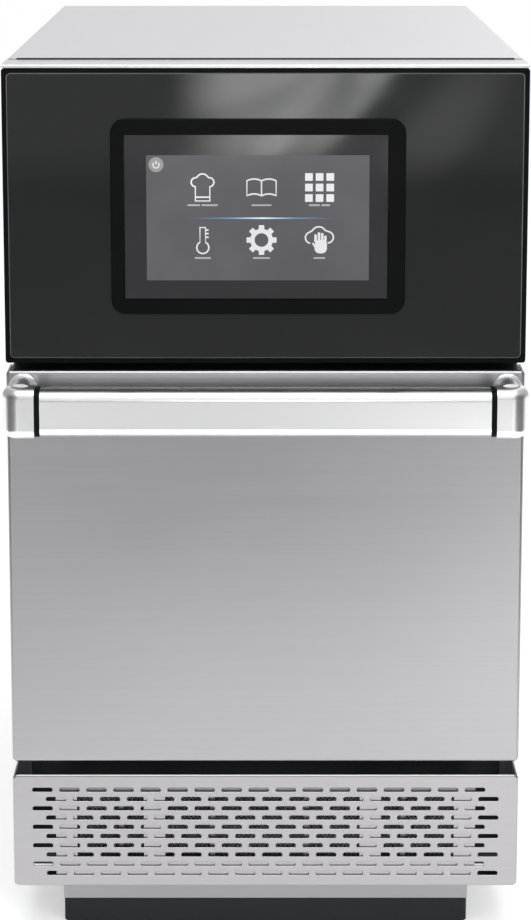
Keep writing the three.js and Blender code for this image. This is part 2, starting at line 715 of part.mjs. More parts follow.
// Electronics on a shelf over the cavity.
const shelfRearRoom = 123.5; // the shelf to the back panel's outer face
const shelfRim = 12;
const shelfSetback = 20;
const supplyWidthShare = 0.4; // of the shelf's width and depth
const supplyDepthShare = 0.5;
const supplyHeight = 60;
const supplyFins = 8;
const supplyFinHeight = 24;
const supplyFinThickness = 3;
const boardWidthShare = 0.37; // of the shelf's width and depth
const filterBoardShare = 0.22;
const controlBoardShare = 0.33;
const boardThickness = 1.6;
const boardStandoff = 8;
const boardPostRadius = 3;
const boardPostInset = 8;
const boardGap = 16; // between neighbours on the shelf
const componentShares = [
  [-0.28, -0.22, 0.3, 0.26, 0.24],
  [0.2, -0.2, 0.24, 0.4, 0.16],
  [0.05, 0.25, 0.5, 0.22, 0.1],
]; // centre across and along, width, depth and height, of the board's width and depth

const shelfXs = about(2 * chassisHalfX);
const shelfWidth = shelfXs[1] - shelfXs[0];
const shelfYs = [frameBackY + shelfSetback, bodyDepth - shelfRearRoom];
const shelfDepth = shelfYs[1] - shelfYs[0];
const shelfZ = tubeZs[1] + fit + insulationThickness + fit;
const shelfFloorZ = shelfZ + thinSheet + fit;
const machineFrontY = shelfYs[0] + 2 * boardGap;
const supplyWidth = shelfWidth * supplyWidthShare;
const boardWidth = shelfWidth * boardWidthShare;

function buildBoard(name, ys) {
  const middleX = (boardWidth + boardGap) / 2;
  const depth = ys[1] - ys[0];
  const middleY = (ys[0] + ys[1]) / 2;
  const boardZs = from(shelfFloorZ + boardStandoff, boardThickness);
  const pieces = [block(about(boardWidth, middleX), ys, boardZs)];
  for (const sideX of [-1, 1]) {
    for (const sideY of [-1, 1]) {
      const x = middleX + sideX * (boardWidth / 2 - boardPostInset);
      const y = middleY + sideY * (depth / 2 - boardPostInset);
      pieces.push(rodZ(boardPostRadius, x, y, [shelfFloorZ, boardZs[0] + boardThickness / 2], hexagon));
    }
  }
  for (const [across, along, width, length, height] of componentShares) {
    pieces.push(
      block(
        about(width * boardWidth, middleX + across * boardWidth),
        about(length * depth, middleY + along * depth),
        [boardZs[0] + boardThickness / 2, boardZs[1] + height * boardWidth],
      ),
    );
  }
  add(name, join(...pieces), materials.circuit);
}

function buildShelf() {
  const hollowZs = [shelfZ + thinSheet, shelfZ + shelfRim + overrun];
  const hollow = block(grown(shelfXs, -thinSheet), grown(shelfYs, overrun), hollowZs);
  add("electronics_shelf", cut(block(shelfXs, shelfYs, from(shelfZ, shelfRim)), hollow), materials.darkSteel);
}

function buildPowerSupply() {
  const middleX = -(supplyWidth + boardGap) / 2;
  const ys = from(machineFrontY, shelfDepth * supplyDepthShare);
  const pieces = [block(about(supplyWidth, middleX), ys, from(shelfFloorZ, supplyHeight))];
  const finPitch = supplyWidth / supplyFins;
  const finZs = [shelfFloorZ + supplyHeight - thinSheet, shelfFloorZ + supplyHeight + supplyFinHeight];
  for (let step = 0; step < supplyFins; step += 1) {
    const x = middleX - supplyWidth / 2 + finPitch * (step + 1 / 2);
    pieces.push(block(about(supplyFinThickness, x), grown(ys, -boardGap), finZs));
  }
  add("inverter_power_supply", join(...pieces), materials.satinAluminium);
}

function buildBoards() {
  const filterYs = from(machineFrontY, shelfDepth * filterBoardShare);
  buildBoard("mains_filter_board", filterYs);
  buildBoard("oven_controller_board", from(filterYs[1] + boardGap, shelfDepth * controlBoardShare));
}

// Front frame: one plate that everything at the front is fixed to.
const frameReturn = 13.5;
const airWindowHeight = 50;
const airWindowInset = 43; // from each side of the body
const airWindowRise = 16.5; // above the base
const frameTopDrop = 6; // below the fascia's top

function buildFrontFrame() {
  const zs = [baseZ, fasciaTopZ - frameTopDrop];
  const xs = about(2 * chassisHalfX);
  const ys = [frameFrontY, frameBackY];
  const returnYs = [frameFrontY, frameBackY + frameReturn - thickSheet];
  const panRoomZ = baseZ + basePanRim + fit;
  const airWindowXs = grown(about(bodyWidth), -airWindowInset);
  const returns = [-1, 1].map((side) =>
    block(mirrorX([chassisHalfX - thickSheet, chassisHalfX], side), returnYs, [panRoomZ, zs[1]]),
  );
  const cuts = [
    block(grown(tubeXs, fit), grown(ys, overrun), grown(tubeZs, fit)),
    block(airWindowXs, grown(ys, overrun), from(baseZ + airWindowRise, airWindowHeight)),
  ];
  for (const side of [-1, 1]) {
    cuts.push(
      block(
        grown(mirrorX(lugXs, side), fit),
        grown(ys, overrun),
        about(2 * (lugHalfHeight + fit), hingeZ),
      ),
      rodY(plungerRadius + fit, side * plungerX, plungerZ, grown(ys, overrun)),
    );
  }
  const screenBack = block(bezelXs, grown(ys, overrun), grown(screenZs, -displayInset));
  add("front_frame", cut(join(block(xs, ys, zs), ...returns), ...cuts, screenBack), materials.blackSteel);
}

// Fascia: steel cap, black tray, black glass, and the screen in its bezel.
const fasciaWall = 2.5;
const fasciaBorder = 2.8;
const fasciaRecess = 2.5; // front edge to the plate behind the glass
const fasciaPlate = 2.2;
const fasciaRadius = 2;
const glassInset = 0.6; // front edge to the glass
const glassRadius = 3;
const bezelLeft = 9; // widths of the bezel's bands
const bezelRight = 11.6;
const bezelBand = 10.4; // over and under the screen
const bezelRadius = 10;
const bezelProud = 1.6; // ahead of the door face
const bezelLip = 4;
const screenX = -6.3;
const screenWidth = 179.4;
const screenHeight = 113.2;
const screenInset = 1; // bezel face to the screen's glass
const screenThickness = 1.8;
const displayInset = 7; // screen's edge to the display module's
const displayModuleDepth = 10;

const fasciaXs = about(bodyWidth);
const fasciaZs = [fasciaBottomZ, fasciaTopZ];
const recessXs = grown(fasciaXs, -fasciaBorder);
const recessZs = grown(fasciaZs, -fasciaBorder);
const plateBackY = fasciaRecess + fasciaPlate;
const screenXs = about(screenWidth, screenX);
const screenZs = about(screenHeight, fasciaMiddleZ);
const bezelXs = [screenXs[0] - bezelLeft, screenXs[1] + bezelRight];
const bezelZs = grown(screenZs, bezelBand);
const windowXs = grown(bezelXs, -bezelLip);
const windowZs = grown(bezelZs, -bezelLip);
const windowRadius = bezelRadius - bezelLip;
const touchYs = from(screenInset - bezelProud, screenThickness);

function buildFasciaCap() {
  const top = block(fasciaXs, [0, frameFrontY - fit - coverGap], [overallHeight - thickSheet, overallHeight]);
  const lip = block(fasciaXs, [0, fasciaWall], [fasciaTopZ + fit, overallHeight]);
  const edge = edgeCut(fasciaXs, fasciaWall / 2, overallHeight);
  add("fascia_cap", cut(join(top, lip), edge), materials.brushedSteel);
}

function fasciaWindow() {
  return plate(windowXs, [-overrun, plateBackY + overrun], windowZs, windowRadius);
}

function buildFasciaTray() {
  const frame = cut(
    plate(fasciaXs, [0, frameFrontY - fit], fasciaZs, fasciaRadius),
    plate(recessXs, [-overrun, fasciaRecess], recessZs, glassRadius),
    block(grown(fasciaXs, -fasciaWall), [plateBackY, frameFrontY + overrun], grown(fasciaZs, -fasciaWall)),
    fasciaWindow(),
  );
  add("fascia_frame", frame, materials.blackPlastic);

  const glassYs = [glassInset, fasciaRecess - fit];
  const glass = plate(grown(recessXs, -fit), glassYs, grown(recessZs, -fit), glassRadius - fit);
  add("fascia_panel", cut(glass, fasciaWindow()), materials.blackGlass);
}

function buildScreen() {
  const bezel = join(
    plate(bezelXs, [-bezelProud, glassInset - fit], bezelZs, bezelRadius, fineSteps),
    plate(grown(windowXs, -fit), [-bezelProud / 2, plateBackY], grown(windowZs, -fit), windowRadius),
  );
  const opening = block(screenXs, [-bezelProud - overrun, plateBackY + overrun], screenZs);
  add("screen_bezel", cut(bezel, opening), materials.blackPlastic);
  add("touch_glass", block(grown(screenXs, -fit), touchYs, grown(screenZs, -fit)), materials.screenGlass);

  const moduleYs = from(touchYs[1] + fit, displayModuleDepth);
  const module = block(grown(screenXs, -displayInset), moduleYs, grown(screenZs, -displayInset));
  add("display_module", module, materials.darkSteel);
}

// A bar that takes a 45 degree edge off the front top corner of a strip.
function edgeCut(xs, size, topZ) {
  const bar = new THREE.Shape();
  bar.moveTo(-size, topZ + size);
  bar.lineTo(-size, topZ - size);
  bar.lineTo(size, topZ + size);
  bar.closePath();
  return solidOf(alongX(bar, grown(xs, overrun)));
}

// Door: steel skin, insulated body, inner panel with its plug, and the seal.
const doorThickness = 34;
const doorSkin = 1.2;
const doorCorner = 3.5;
const doorLip = 3; // how far the skin turns in at the top and bottom
const doorWall = 2;
const doorInnerInset = 5; // body's edge to the inner panel's edge, at the sides
const doorInnerDrop = 11; // door's top edge to the inner panel's
const doorInnerRise = 22; // the same, at the bottom
const doorPlugDepth = 14.5; // from the inner panel's back into the cavity's mouth
const plugRoom = 2; // between the plug and the ceramic floor
const doorPlugGap = 4.5; // to each side of the cavity's mouth
const doorPlugRise = 6; // to the mouth's floor and roof
const sealWidth = 7.5;
const sealMargin = 3; // mouth's edge to the seal

const skinInnerX = bodyWidth / 2 - doorSkin;
const bodyXs = about(2 * (skinInnerX - fit));
const bodyYs = [doorSkin + fit, doorThickness];
const bodyZs = [doorBottomZ + doorSkin + fit, doorTopZ - doorSkin - fit];
const innerPanelYs = from(doorThickness + fit, thinSheet);
const plugBackY = innerPanelYs[1] + doorPlugDepth;

// The hinges: a lug on the front frame reaches into a notch in the door's foot, and a pin crosses both.
const hingeSetback = 11; // behind the door face
const hingeRise = 9; // above the door's bottom edge
const hingePinRadius = 3;
const lugInset = 18; // the body's side to the middle of a lug
const lugThickness = 4;
const lugHalfHeight = 5.5;
const hingeFlangeWidth = 24;
const hingeFlangeThickness = 3;
const hingeFlangeHeight = 32;
const notchSpringRoom = 11.5; // between the lug and the notch's inner wall
const notchWall = 4;
const notchTopRise = 9; // hinge axis to the notch's roof
const notchFrontY = 4;
const springWire = 1.6;
const springCoilRadius = 4.7; // axis to the middle of the wire
const springTurns = 4;
const springSides = 5;
const springSteps = 8; // along each turn

const hingeZ = doorBottomZ + hingeRise;
const lugOffset = bodyWidth / 2 - lugInset;
const lugXs = about(lugThickness, lugOffset);
const notchXs = [lugXs[0] - notchSpringRoom, lugXs[1] + overrun];
const notchTopZ = hingeZ + notchTopRise;
const pinXs = [notchXs[0] - notchWall + 2 * fit, notchXs[1] + 2 * notchWall];
const springPitch = (notchSpringRoom - springWire - 2 * fit) / springTurns;

// Door switches that the inner panel holds pressed.
const plungerInset = 58; // from the body's side
const plungerDrop = 17; // below the door's top
const plungerRadius = 3;
const plungerLength = 14;
const switchWidth = 20;
const switchHeight = 22;
const switchDepth = 13;
const plungerX = bodyWidth / 2 - plungerInset;
const plungerZ = doorTopZ - plungerDrop;

function buildDoorSkin() {
  const xs = about(bodyWidth);
  const zs = [doorBottomZ, doorTopZ];
  const insideYs = [doorSkin, doorThickness + overrun];
  const behindLipYs = [doorLip, doorThickness + overrun];
  const skin = cut(
    plate(xs, [0, doorThickness], zs, doorCorner),
    plate(grown(xs, -doorSkin), insideYs, grown(zs, -doorSkin), doorCorner - doorSkin),
    block(grown(xs, -doorCorner), behindLipYs, grown(zs, overrun)),
  );
  add("door_skin", skin, materials.brushedSteel);
}

function buildDoorBody() {
  const shell = cut(
    plate(bodyXs, bodyYs, bodyZs, doorCorner - doorSkin - fit),
    block(grown(bodyXs, -doorWall), [0, doorThickness - doorWall], grown(bodyZs, -doorWall)),
  );
  const feet = [];
  const cuts = [];
  for (const side of [-1, 1]) {
    const footXs = mirrorX([notchXs[0] - notchWall, bodyXs[1]], side);
    feet.push(block(footXs, bodyYs, [bodyZs[0] + doorWall / 2, notchTopZ + notchWall]));
    const notchYs = [notchFrontY, doorThickness + overrun];
    cuts.push(block(mirrorX(notchXs, side), notchYs, [doorBottomZ - overrun, notchTopZ]));
    cuts.push(rodX(hingePinRadius + fit, hingeSetback, hingeZ, mirrorX(pinXs, side)));
  }
  add("door_body", cut(join(shell, ...feet), ...cuts), materials.blackSteel);
}

function buildDoorInsulation() {
  const xs = grown(bodyXs, -doorWall - fit);
  const ys = [bodyYs[0], doorThickness - doorWall - fit];
  const zs = [notchTopZ + notchWall + fit, bodyZs[1] - doorWall - fit];
  add("door_insulation", block(xs, ys, zs), materials.insulation);
}

function buildDoorInnerPanel() {
  const panelZs = [doorBottomZ + doorInnerRise, doorTopZ - doorInnerDrop];
  const panel = block(grown(bodyXs, -doorInnerInset), innerPanelYs, panelZs);
  const plugXs = about(cavityWidth - 2 * doorPlugGap);
  const plugZs = grown(mouthZs, -doorPlugRise);
  const plug = block(plugXs, [innerPanelYs[0], plugBackY], plugZs);
  const hollowYs = [innerPanelYs[0] - overrun, plugBackY - thinSheet];
  const hollow = block(grown(plugXs, -thinSheet), hollowYs, grown(plugZs, -thinSheet));
  add("door_inner_panel", cut(join(panel, plug), hollow), materials.polishedSteel);
}

function buildDoorSeal() {
  const ys = [innerPanelYs[1] + fit, cavityFrontY - fit];
  const innerXs = grown(about(cavityWidth), sealMargin);
  const innerZs = grown(mouthZs, sealMargin);
  const seal = cut(
    plate(grown(innerXs, sealWidth), ys, grown(innerZs, sealWidth), sealWidth),
    plate(innerXs, grown(ys, overrun), innerZs, sealMargin),
  );
  add("door_seal", seal, materials.rubber);
}

function coilGeometry(startX) {
  const positions = [];
  const rings = springTurns * springSteps;
  for (let ring = 0; ring <= rings; ring += 1) {
    const angle = (ring / springSteps) * 2 * Math.PI;
    const x = startX + (ring / springSteps) * springPitch;
    for (let side = 0; side < springSides; side += 1) {
      const turn = (side / springSides) * 2 * Math.PI;
      const radius = springCoilRadius + (springWire / 2) * Math.cos(turn);
      positions.push(
        x + (springWire / 2) * Math.sin(turn),
        hingeSetback + radius * Math.cos(angle),
        hingeZ + radius * Math.sin(angle),
      );
    }
  }
  const faces = [];
  for (let ring = 0; ring < rings; ring += 1) {
    for (let side = 0; side < springSides; side += 1) {
      const next = (side + 1) % springSides;
      const a = ring * springSides + side;
      const b = ring * springSides + next;
      const c = a + springSides;
      const d = b + springSides;
      faces.push(a, c, b, b, c, d);
    }
  }
  for (let side = 1; side < springSides - 1; side += 1) {
    faces.push(0, side, side + 1);
    const last = rings * springSides;
    faces.push(last, last + side + 1, last + side);
  }
  const geometry = new THREE.BufferGeometry();
  geometry.setAttribute("position", new THREE.Float32BufferAttribute(positions, 3));
  geometry.setIndex(faces);
  geometry.computeVertexNormals();
  return geometry;
}

function buildHingeBracket(name, side) {
  const flangeYs = from(frameBackY + fit, hingeFlangeThickness);
  const lug = new THREE.Shape();
  lug.absarc(hingeSetback, hingeZ, lugHalfHeight, Math.PI / 2, 1.5 * Math.PI);
  lug.lineTo(flangeYs[1], hingeZ - lugHalfHeight);
  lug.lineTo(flangeYs[1], hingeZ + lugHalfHeight);
  lug.closePath();
  const lugSolid = solidOf(alongX(lug, mirrorX(lugXs, side), fineSteps));
  const flangeXs = about(hingeFlangeWidth, side * lugOffset);
  const flange = block(flangeXs, flangeYs, from(doorBottomZ, hingeFlangeHeight));
  const pinHole = rodX(hingePinRadius + fit, hingeSetback, hingeZ, grown(mirrorX(lugXs, side), overrun));
  add(`hinge_bracket_${name}`, cut(join(lugSolid, flange), pinHole), materials.darkSteel);
}

function buildHingePin(name, side) {
  const pin = rodX(hingePinRadius, hingeSetback, hingeZ, mirrorX(grown(pinXs, -fit), side));
  add(`hinge_pin_${name}`, pin, materials.polishedSteel);
}

function buildHingeSpring(name, side) {
  const run = springTurns * springPitch;
  const middle = (notchXs[0] + lugXs[0]) / 2;
  add(`hinge_spring_${name}`, coilGeometry(side * middle - run / 2), materials.darkSteel);
}

function buildInterlock(name, side) {
  const switchYs = from(frameBackY + fit, switchDepth);
  const plungerYs = from(innerPanelYs[1] + fit, plungerLength);
  const boreYs = [switchYs[0] - overrun, plungerYs[1] + fit];
  const bore = rodY(plungerRadius + fit, side * plungerX, plungerZ, boreYs);
  const body = block(about(switchWidth, side * plungerX), switchYs, about(switchHeight, plungerZ));
  add(`interlock_switch_${name}`, cut(body, bore), materials.blackPlastic);
  const plunger = rodY(plungerRadius, side * plungerX, plungerZ, plungerYs);
  add(`interlock_plunger_${name}`, plunger, materials.ceramic);
}

// Handle: a tube between two cast brackets, with a black ring at each end.
const tubeHeight = 31.6;
const tubeDepth = 23.4;
const tubeRadius = 7;
const tubeWall = 2.5;
const handleDrop = 21.8; // door's top to the middle of the handle
const bracketWidth = 22.5;
const bracketHeight = 34.6;
const bracketBend = 13; // the rounded outer front corner, seen from above
const bracketBevel = 5;
const footPadThickness = 3;
const footPadHeight = 40;
const footPadRadius = 8;
const ringWidth = 3;
const ringProud = 0.4;

const handleMiddleZ = doorTopZ - handleDrop;
const tubeMiddleY = -handleReach + tubeDepth / 2;
const ringOuterX = bodyWidth / 2 - bracketWidth - fit;
const tubeEndX = ringOuterX - ringWidth - fit;

// The tube's outline, or one that stands out from it or in from it.
function tubeOutline(path, growth) {
  const width = tubeDepth + 2 * growth;
  const height = tubeHeight + 2 * growth;
  return roundedPath(path, width, height, tubeRadius + growth, tubeMiddleY, handleMiddleZ);
}

function buildHandleTube() {
  const outline = tubeOutline(new THREE.Shape(), 0);
  outline.holes.push(tubeOutline(new THREE.Path(), -tubeWall));
  add("handle_tube", alongX(outline, [-tubeEndX, tubeEndX], fineSteps), materials.satinAluminium);
}

function buildHandleRing(name, side) {
  const xs = mirrorX([ringOuterX - ringWidth, ringOuterX], side);
  const ring = alongX(tubeOutline(new THREE.Shape(), ringProud), xs, fineSteps);
  add(`handle_gasket_${name}`, ring.translate(0, ringProud, 0), materials.rubber);
}

// The bracket's casting, drawn from above for the right-hand side.
function bracketCasting() {
  const inner = bodyWidth / 2 - bracketWidth + bracketBevel;
  const outer = bodyWidth / 2 - bracketBevel;
  const front = -handleReach + bracketBevel;
  const back = -fit - footPadThickness / 2 - bracketBevel;
  const bend = bracketBend - bracketBevel;
  const outline = new THREE.Shape();
  outline.moveTo(inner, front);
  outline.lineTo(outer - bend, front);
  outline.absarc(outer - bend, front + bend, bend, -Math.PI / 2, 0);
  outline.lineTo(outer, back);
  outline.lineTo(inner, back);
  outline.closePath();
  const casting = new THREE.ExtrudeGeometry(outline, {
    depth: bracketHeight - 2 * bracketBevel,
    bevelThickness: bracketBevel,
    bevelSize: bracketBevel,
    bevelSegments: roundSteps,
    curveSegments: fineSteps / 2,
  });
  return solidOf(casting.translate(0, 0, handleMiddleZ - bracketHeight / 2 + bracketBevel));
}

function buildHandleBracket(name, side) {
  const padXs = [bodyWidth / 2 - bracketWidth, bodyWidth / 2];
  const padYs = [-fit - footPadThickness, -fit];
  const pad = plate(padXs, padYs, about(footPadHeight, handleMiddleZ), footPadRadius);
  const bracket = join(bracketCasting(), pad);
  add(`handle_bracket_${name}`, side > 0 ? bracket : bracket.mirror([1, 0, 0]), materials.polishedSteel);
}

// Vent cover: a steel pan with rows of slots, and the air filter that comes off with it.
const ventRowsFront = 10;
const ventSlotsPerRow = 17;
const ventSlotRun = 14.3;
const ventSlotRise = 3.2;
const ventSideMargin = 25.6; // cover's end to the middle of the end slots
const ventStagger = 9.5; // between even and odd rows
const ventFirstDrop = 11.1; // cover's top to the middle of the first row
const ventLastRise = 9.6; // cover's bottom to the middle of the last row
const coverCorner = 3.5;
const coverRearFlange = 10;
const filterInset = 30; // from each end of the cover
const filterDrop = 9; // cover's top to the filter's top
const filterRise = 13.5; // cover's bottom to the filter's bottom
const filterDepth = 8;
const filterBorder = 7;
const filterSideBorder = 15;
const filterWideWeb = 15;
const filterNarrowWeb = 3.5;
const filterWideShares = [-0.53, 0.5]; // centres, of the filter's half width
const filterNarrowShares = [-0.69, -0.24, -0.04, 0.22, 0.66];
const meshThickness = 3;
const ventPitchX = (bodyWidth - 2 * ventSideMargin) / (ventSlotsPerRow - 1);
const ventPitchZ = (grilleHeight - ventFirstDrop - ventLastRise) / (ventRowsFront - 1);
const filterHalfWidth = bodyWidth / 2 - filterInset;

const ventXs = about(bodyWidth);
const ventYs = [0, frameFrontY - fit];
const ventZs = [baseZ, grilleTopZ];

// The pan is open at the top, at the back and in its floor.
function ventPan() {
  const insideYs = [thinSheet, ventYs[1] - thinSheet];
  const rearYs = [ventYs[1] - thinSheet - overrun, ventYs[1] + overrun];
  const floorYs = [thinSheet + coverRearFlange, ventYs[1] + overrun];
  const floorZs = [ventZs[0] - overrun, ventZs[0] + thinSheet + overrun];
  return cut(
    plate(ventXs, ventYs, ventZs, coverCorner),
    block(grown(ventXs, -thinSheet), insideYs, [ventZs[0] + thinSheet, ventZs[1] + overrun]),
    block(grown(ventXs, -coverRearFlange), rearYs, grown(ventZs, overrun)),
    block(grown(ventXs, -thinSheet), floorYs, floorZs),
  );
}

function slottedSheet(xs, zs) {
  const outline = new THREE.Shape();
  outline.moveTo(xs[0], zs[0]);
  outline.lineTo(xs[1], zs[0]);
  outline.lineTo(xs[1], zs[1]);
  outline.lineTo(xs[0], zs[1]);
  outline.closePath();
  for (let row = 0; row < ventRowsFront; row += 1) {
    const z = grilleTopZ - ventFirstDrop - row * ventPitchZ;
    const shift = (row % 2 === 0 ? -ventStagger : ventStagger) / 2;
    for (let column = 0; column < ventSlotsPerRow; column += 1) {
      const x = (column - (ventSlotsPerRow - 1) / 2) * ventPitchX + shift;
      outline.holes.push(slotPath(ventSlotRun, ventSlotRise, x, z));
    }
  }
  return solidOf(alongY(outline, [0, thinSheet]));
}

// The pan's own front sheet is cut away inside a margin, and the slotted sheet is set in its place.
function buildVentCover() {
  const sheetXs = grown(ventXs, -2 * coverCorner);
  const sheetZs = grown(ventZs, -2 * coverCorner);
  const window = block(sheetXs, grown([0, thinSheet], overrun / 2), sheetZs);
  const cover = join(cut(ventPan(), window), slottedSheet(sheetXs, sheetZs));
  add("vent_cover", cover, materials.brushedSteel);
}

function buildFilter() {
  const xs = about(2 * filterHalfWidth);
  const ys = from(thinSheet + fit, filterDepth);
  const zs = [baseZ + filterRise, grilleTopZ - filterDrop];
  const openXs = grown(xs, -filterSideBorder);
  const openZs = grown(zs, -filterBorder);
  const meshYs = from(ys[0] + filterDepth / 2, meshThickness);
  const webYs = [ys[0], meshYs[0] - fit];
  const web = (share, width) => block(about(width, share * filterHalfWidth), webYs, grown(openZs, overrun));
  const frame = join(
    cut(block(xs, ys, zs), block(openXs, grown(ys, overrun), openZs)),
    ...filterWideShares.map((share) => web(share, filterWideWeb)),
    ...filterNarrowShares.map((share) => web(share, filterNarrowWeb)),
  );
  add("filter_frame", frame, materials.brushedSteel);
  add("filter_mesh", block(grown(openXs, -fit), meshYs, grown(openZs, -fit)), materials.blackSteel);
}

buildBase();
buildSidePanels();
buildTopCover();
buildBackPanel();
buildRearFittings();
buildCavity();
buildCavityPlates();
buildFanGuard();
buildCavityInsulation();
buildCookPlate();
buildPlenum();
buildImpeller();
buildFanMotor();
buildHeater();
buildWaveguide();
buildMagnetron();
buildStirrer();
buildCooler();
buildShelf();
buildPowerSupply();
buildBoards();
buildFrontFrame();
buildFasciaCap();
buildFasciaTray();
buildScreen();
buildDoorSkin();
buildDoorBody();
buildDoorInsulation();
buildDoorInnerPanel();
buildDoorSeal();
buildHandleTube();
for (const [name, side] of [["left", -1], ["right", 1]]) {
  buildHingeBracket(name, side);
  buildHingePin(name, side);
  buildHingeSpring(name, side);
  buildInterlock(name, side);
  buildHandleRing(name, side);
  buildHandleBracket(name, side);
}
buildVentCover();
buildFilter();

export default oven;
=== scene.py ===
"""Looks of a compact high-speed counter oven with a drop-down door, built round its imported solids.

Everything is in metres, +Z up, and the door faces -Y.
"""

from __future__ import annotations

import logging
import math
from abc import ABC, abstractmethod
from collections.abc import Callable, Iterator, Sequence
from contextlib import contextmanager
from dataclasses import dataclass
from enum import Enum

import bmesh
import bpy
from mathutils import Matrix, Vector


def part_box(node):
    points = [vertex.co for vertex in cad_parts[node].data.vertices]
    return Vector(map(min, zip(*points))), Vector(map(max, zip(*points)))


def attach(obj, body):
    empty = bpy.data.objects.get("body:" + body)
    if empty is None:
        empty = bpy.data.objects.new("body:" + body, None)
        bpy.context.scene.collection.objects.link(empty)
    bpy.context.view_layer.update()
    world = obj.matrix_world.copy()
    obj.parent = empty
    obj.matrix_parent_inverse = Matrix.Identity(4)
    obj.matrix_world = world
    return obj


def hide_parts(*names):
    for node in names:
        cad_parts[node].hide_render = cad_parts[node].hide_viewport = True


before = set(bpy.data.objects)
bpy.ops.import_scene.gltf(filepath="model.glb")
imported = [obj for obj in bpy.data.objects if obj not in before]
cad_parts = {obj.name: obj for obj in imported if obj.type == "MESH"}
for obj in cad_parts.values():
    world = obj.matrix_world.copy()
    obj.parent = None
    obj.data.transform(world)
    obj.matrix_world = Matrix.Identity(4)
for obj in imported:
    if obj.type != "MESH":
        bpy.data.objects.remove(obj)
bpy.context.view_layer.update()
CAD_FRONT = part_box("door_skin")[0].y

LOG = logging.getLogger("oven")
Pair = tuple[float, float]
Triple = tuple[float, float, float]
Inputs = dict[int | str, object]
Material = bpy.types.Material
Piece = bpy.types.Object
Socket = bpy.types.NodeSocket
Test = Callable[[Vector, Vector], bool]

MM = 0.001
# What is nearer to a place than this is at it.
CLOSE = 0.02 * MM
# A direction with more than this share along an axis runs along it.
STRAIGHT = 0.99
# A direction with more than this share along an axis leans towards it.
LEAN = 0.2
# How far a cutter stands out past what it cuts.
REACH = 20 * MM
# How far edges are eased: folded strips, cut sheets, mouldings.
FINE_EDGE = 0.15 * MM
SHEET_EDGE = 0.25 * MM
SOFT_EDGE = 0.3 * MM
# Between these values lies most of a noise, and nearly all of it.
MIDDLE_RANGE = (0.3, 0.7)
WIDE_RANGE = (0.25, 0.75)
WHITE = (1.0, 1.0, 1.0, 1.0)
ORIGIN = (0.0, 0.0, 0.0)


class Axis(Enum):
    """An axis of the oven's own frame."""

    X = 0
    Y = 1
    Z = 2


class Part(Enum):
    """What an edit acts on."""

    EDGE = "EDGE"
    FACE = "FACE"


class Use(Enum):
    """What a second solid is used for."""

    JOIN = "UNION"
    CUT = "DIFFERENCE"


class Blend(Enum):
    """How a ramp goes from one colour to the next."""

    EVEN = "LINEAR"
    SOFT = "EASE"


class Side(Enum):
    """A side of the oven, as seen from the front."""

    LEFT = "left"
    RIGHT = "right"


class Body(Enum):
    """The moving bodies that pieces ride on."""

    CASING = "casing"
    DOOR = "door"
    VENT_COVER = "vent_cover"
    COOK_PLATE = "cook_plate"


class Slot(Enum):
    """The record's material slots, given with each new piece."""

    CASING_STEEL = "casing_steel"
    CAVITY_STEEL = "cavity_steel"
    HANDLE = "handle_aluminium"
    BRACKET = "bracket_metal"
    FASCIA_GLASS = "fascia_glass"
    SCREEN_GLASS = "screen_glass"
    BEZEL = "bezel_plastic"
    SEAL = "seal_rubber"
    DARK_STEEL = "dark_steel"
    MACHINE_METAL = "machine_metal"
    FILTER = "filter_weave"


def shade(colour: Triple, share: float) -> Triple:
    """Scale a colour's three parts by one share."""
    return (colour[0] * share, colour[1] * share, colour[2] * share)


class Graph:
    """A node tree, and short ways to add to it."""

    def __init__(self, tree: bpy.types.NodeTree) -> None:
        """Take a tree and empty it."""
        self.tree = tree
        tree.nodes.clear()

    def feed(self, node: bpy.types.Node, inputs: Inputs) -> None:
        """Link or set inputs of a node.

        Args:
            node: The node.
            inputs: The inputs' names or numbers, each with a socket or a fixed value.
        """
        for name, value in inputs.items():
            if isinstance(value, Socket):
                self.tree.links.new(value, node.inputs[name])
            else:
                node.inputs[name].default_value = value

    def add(self, kind: str, inputs: Inputs | None = None, **settings: object) -> bpy.types.Node:
        """Add one node.

        Args:
            kind: The node's type, without the word that all of them start with.
            inputs: What its inputs get.
            **settings: The node's own settings.

        Returns:
            The node.
        """
        node = self.tree.nodes.new(f"ShaderNode{kind}")
        for name, value in settings.items():
            setattr(node, name, value)
        self.feed(node, inputs or {})
        return node

    def colours(
        self, value: Socket, stops: Sequence[tuple[float, Triple]], blend: Blend = Blend.EVEN
    ) -> Socket:
        """Turn a value into a colour.

        Args:
            value: The value.
            stops: Places on the ramp, each with its colour.
            blend: How the ramp goes from one colour to the next.

        Returns:
            The colour.
        """
        ramp = self.add("ValToRGB", {"Fac": value})
        ramp.color_ramp.interpolation = blend.value
        elements = ramp.color_ramp.elements
        while len(elements) < len(stops):
            elements.new(0.5)
        for element, (place, colour) in zip(elements, stops):
            element.position = place
            element.color = (*colour, 1.0)
        return ramp.outputs["Color"]


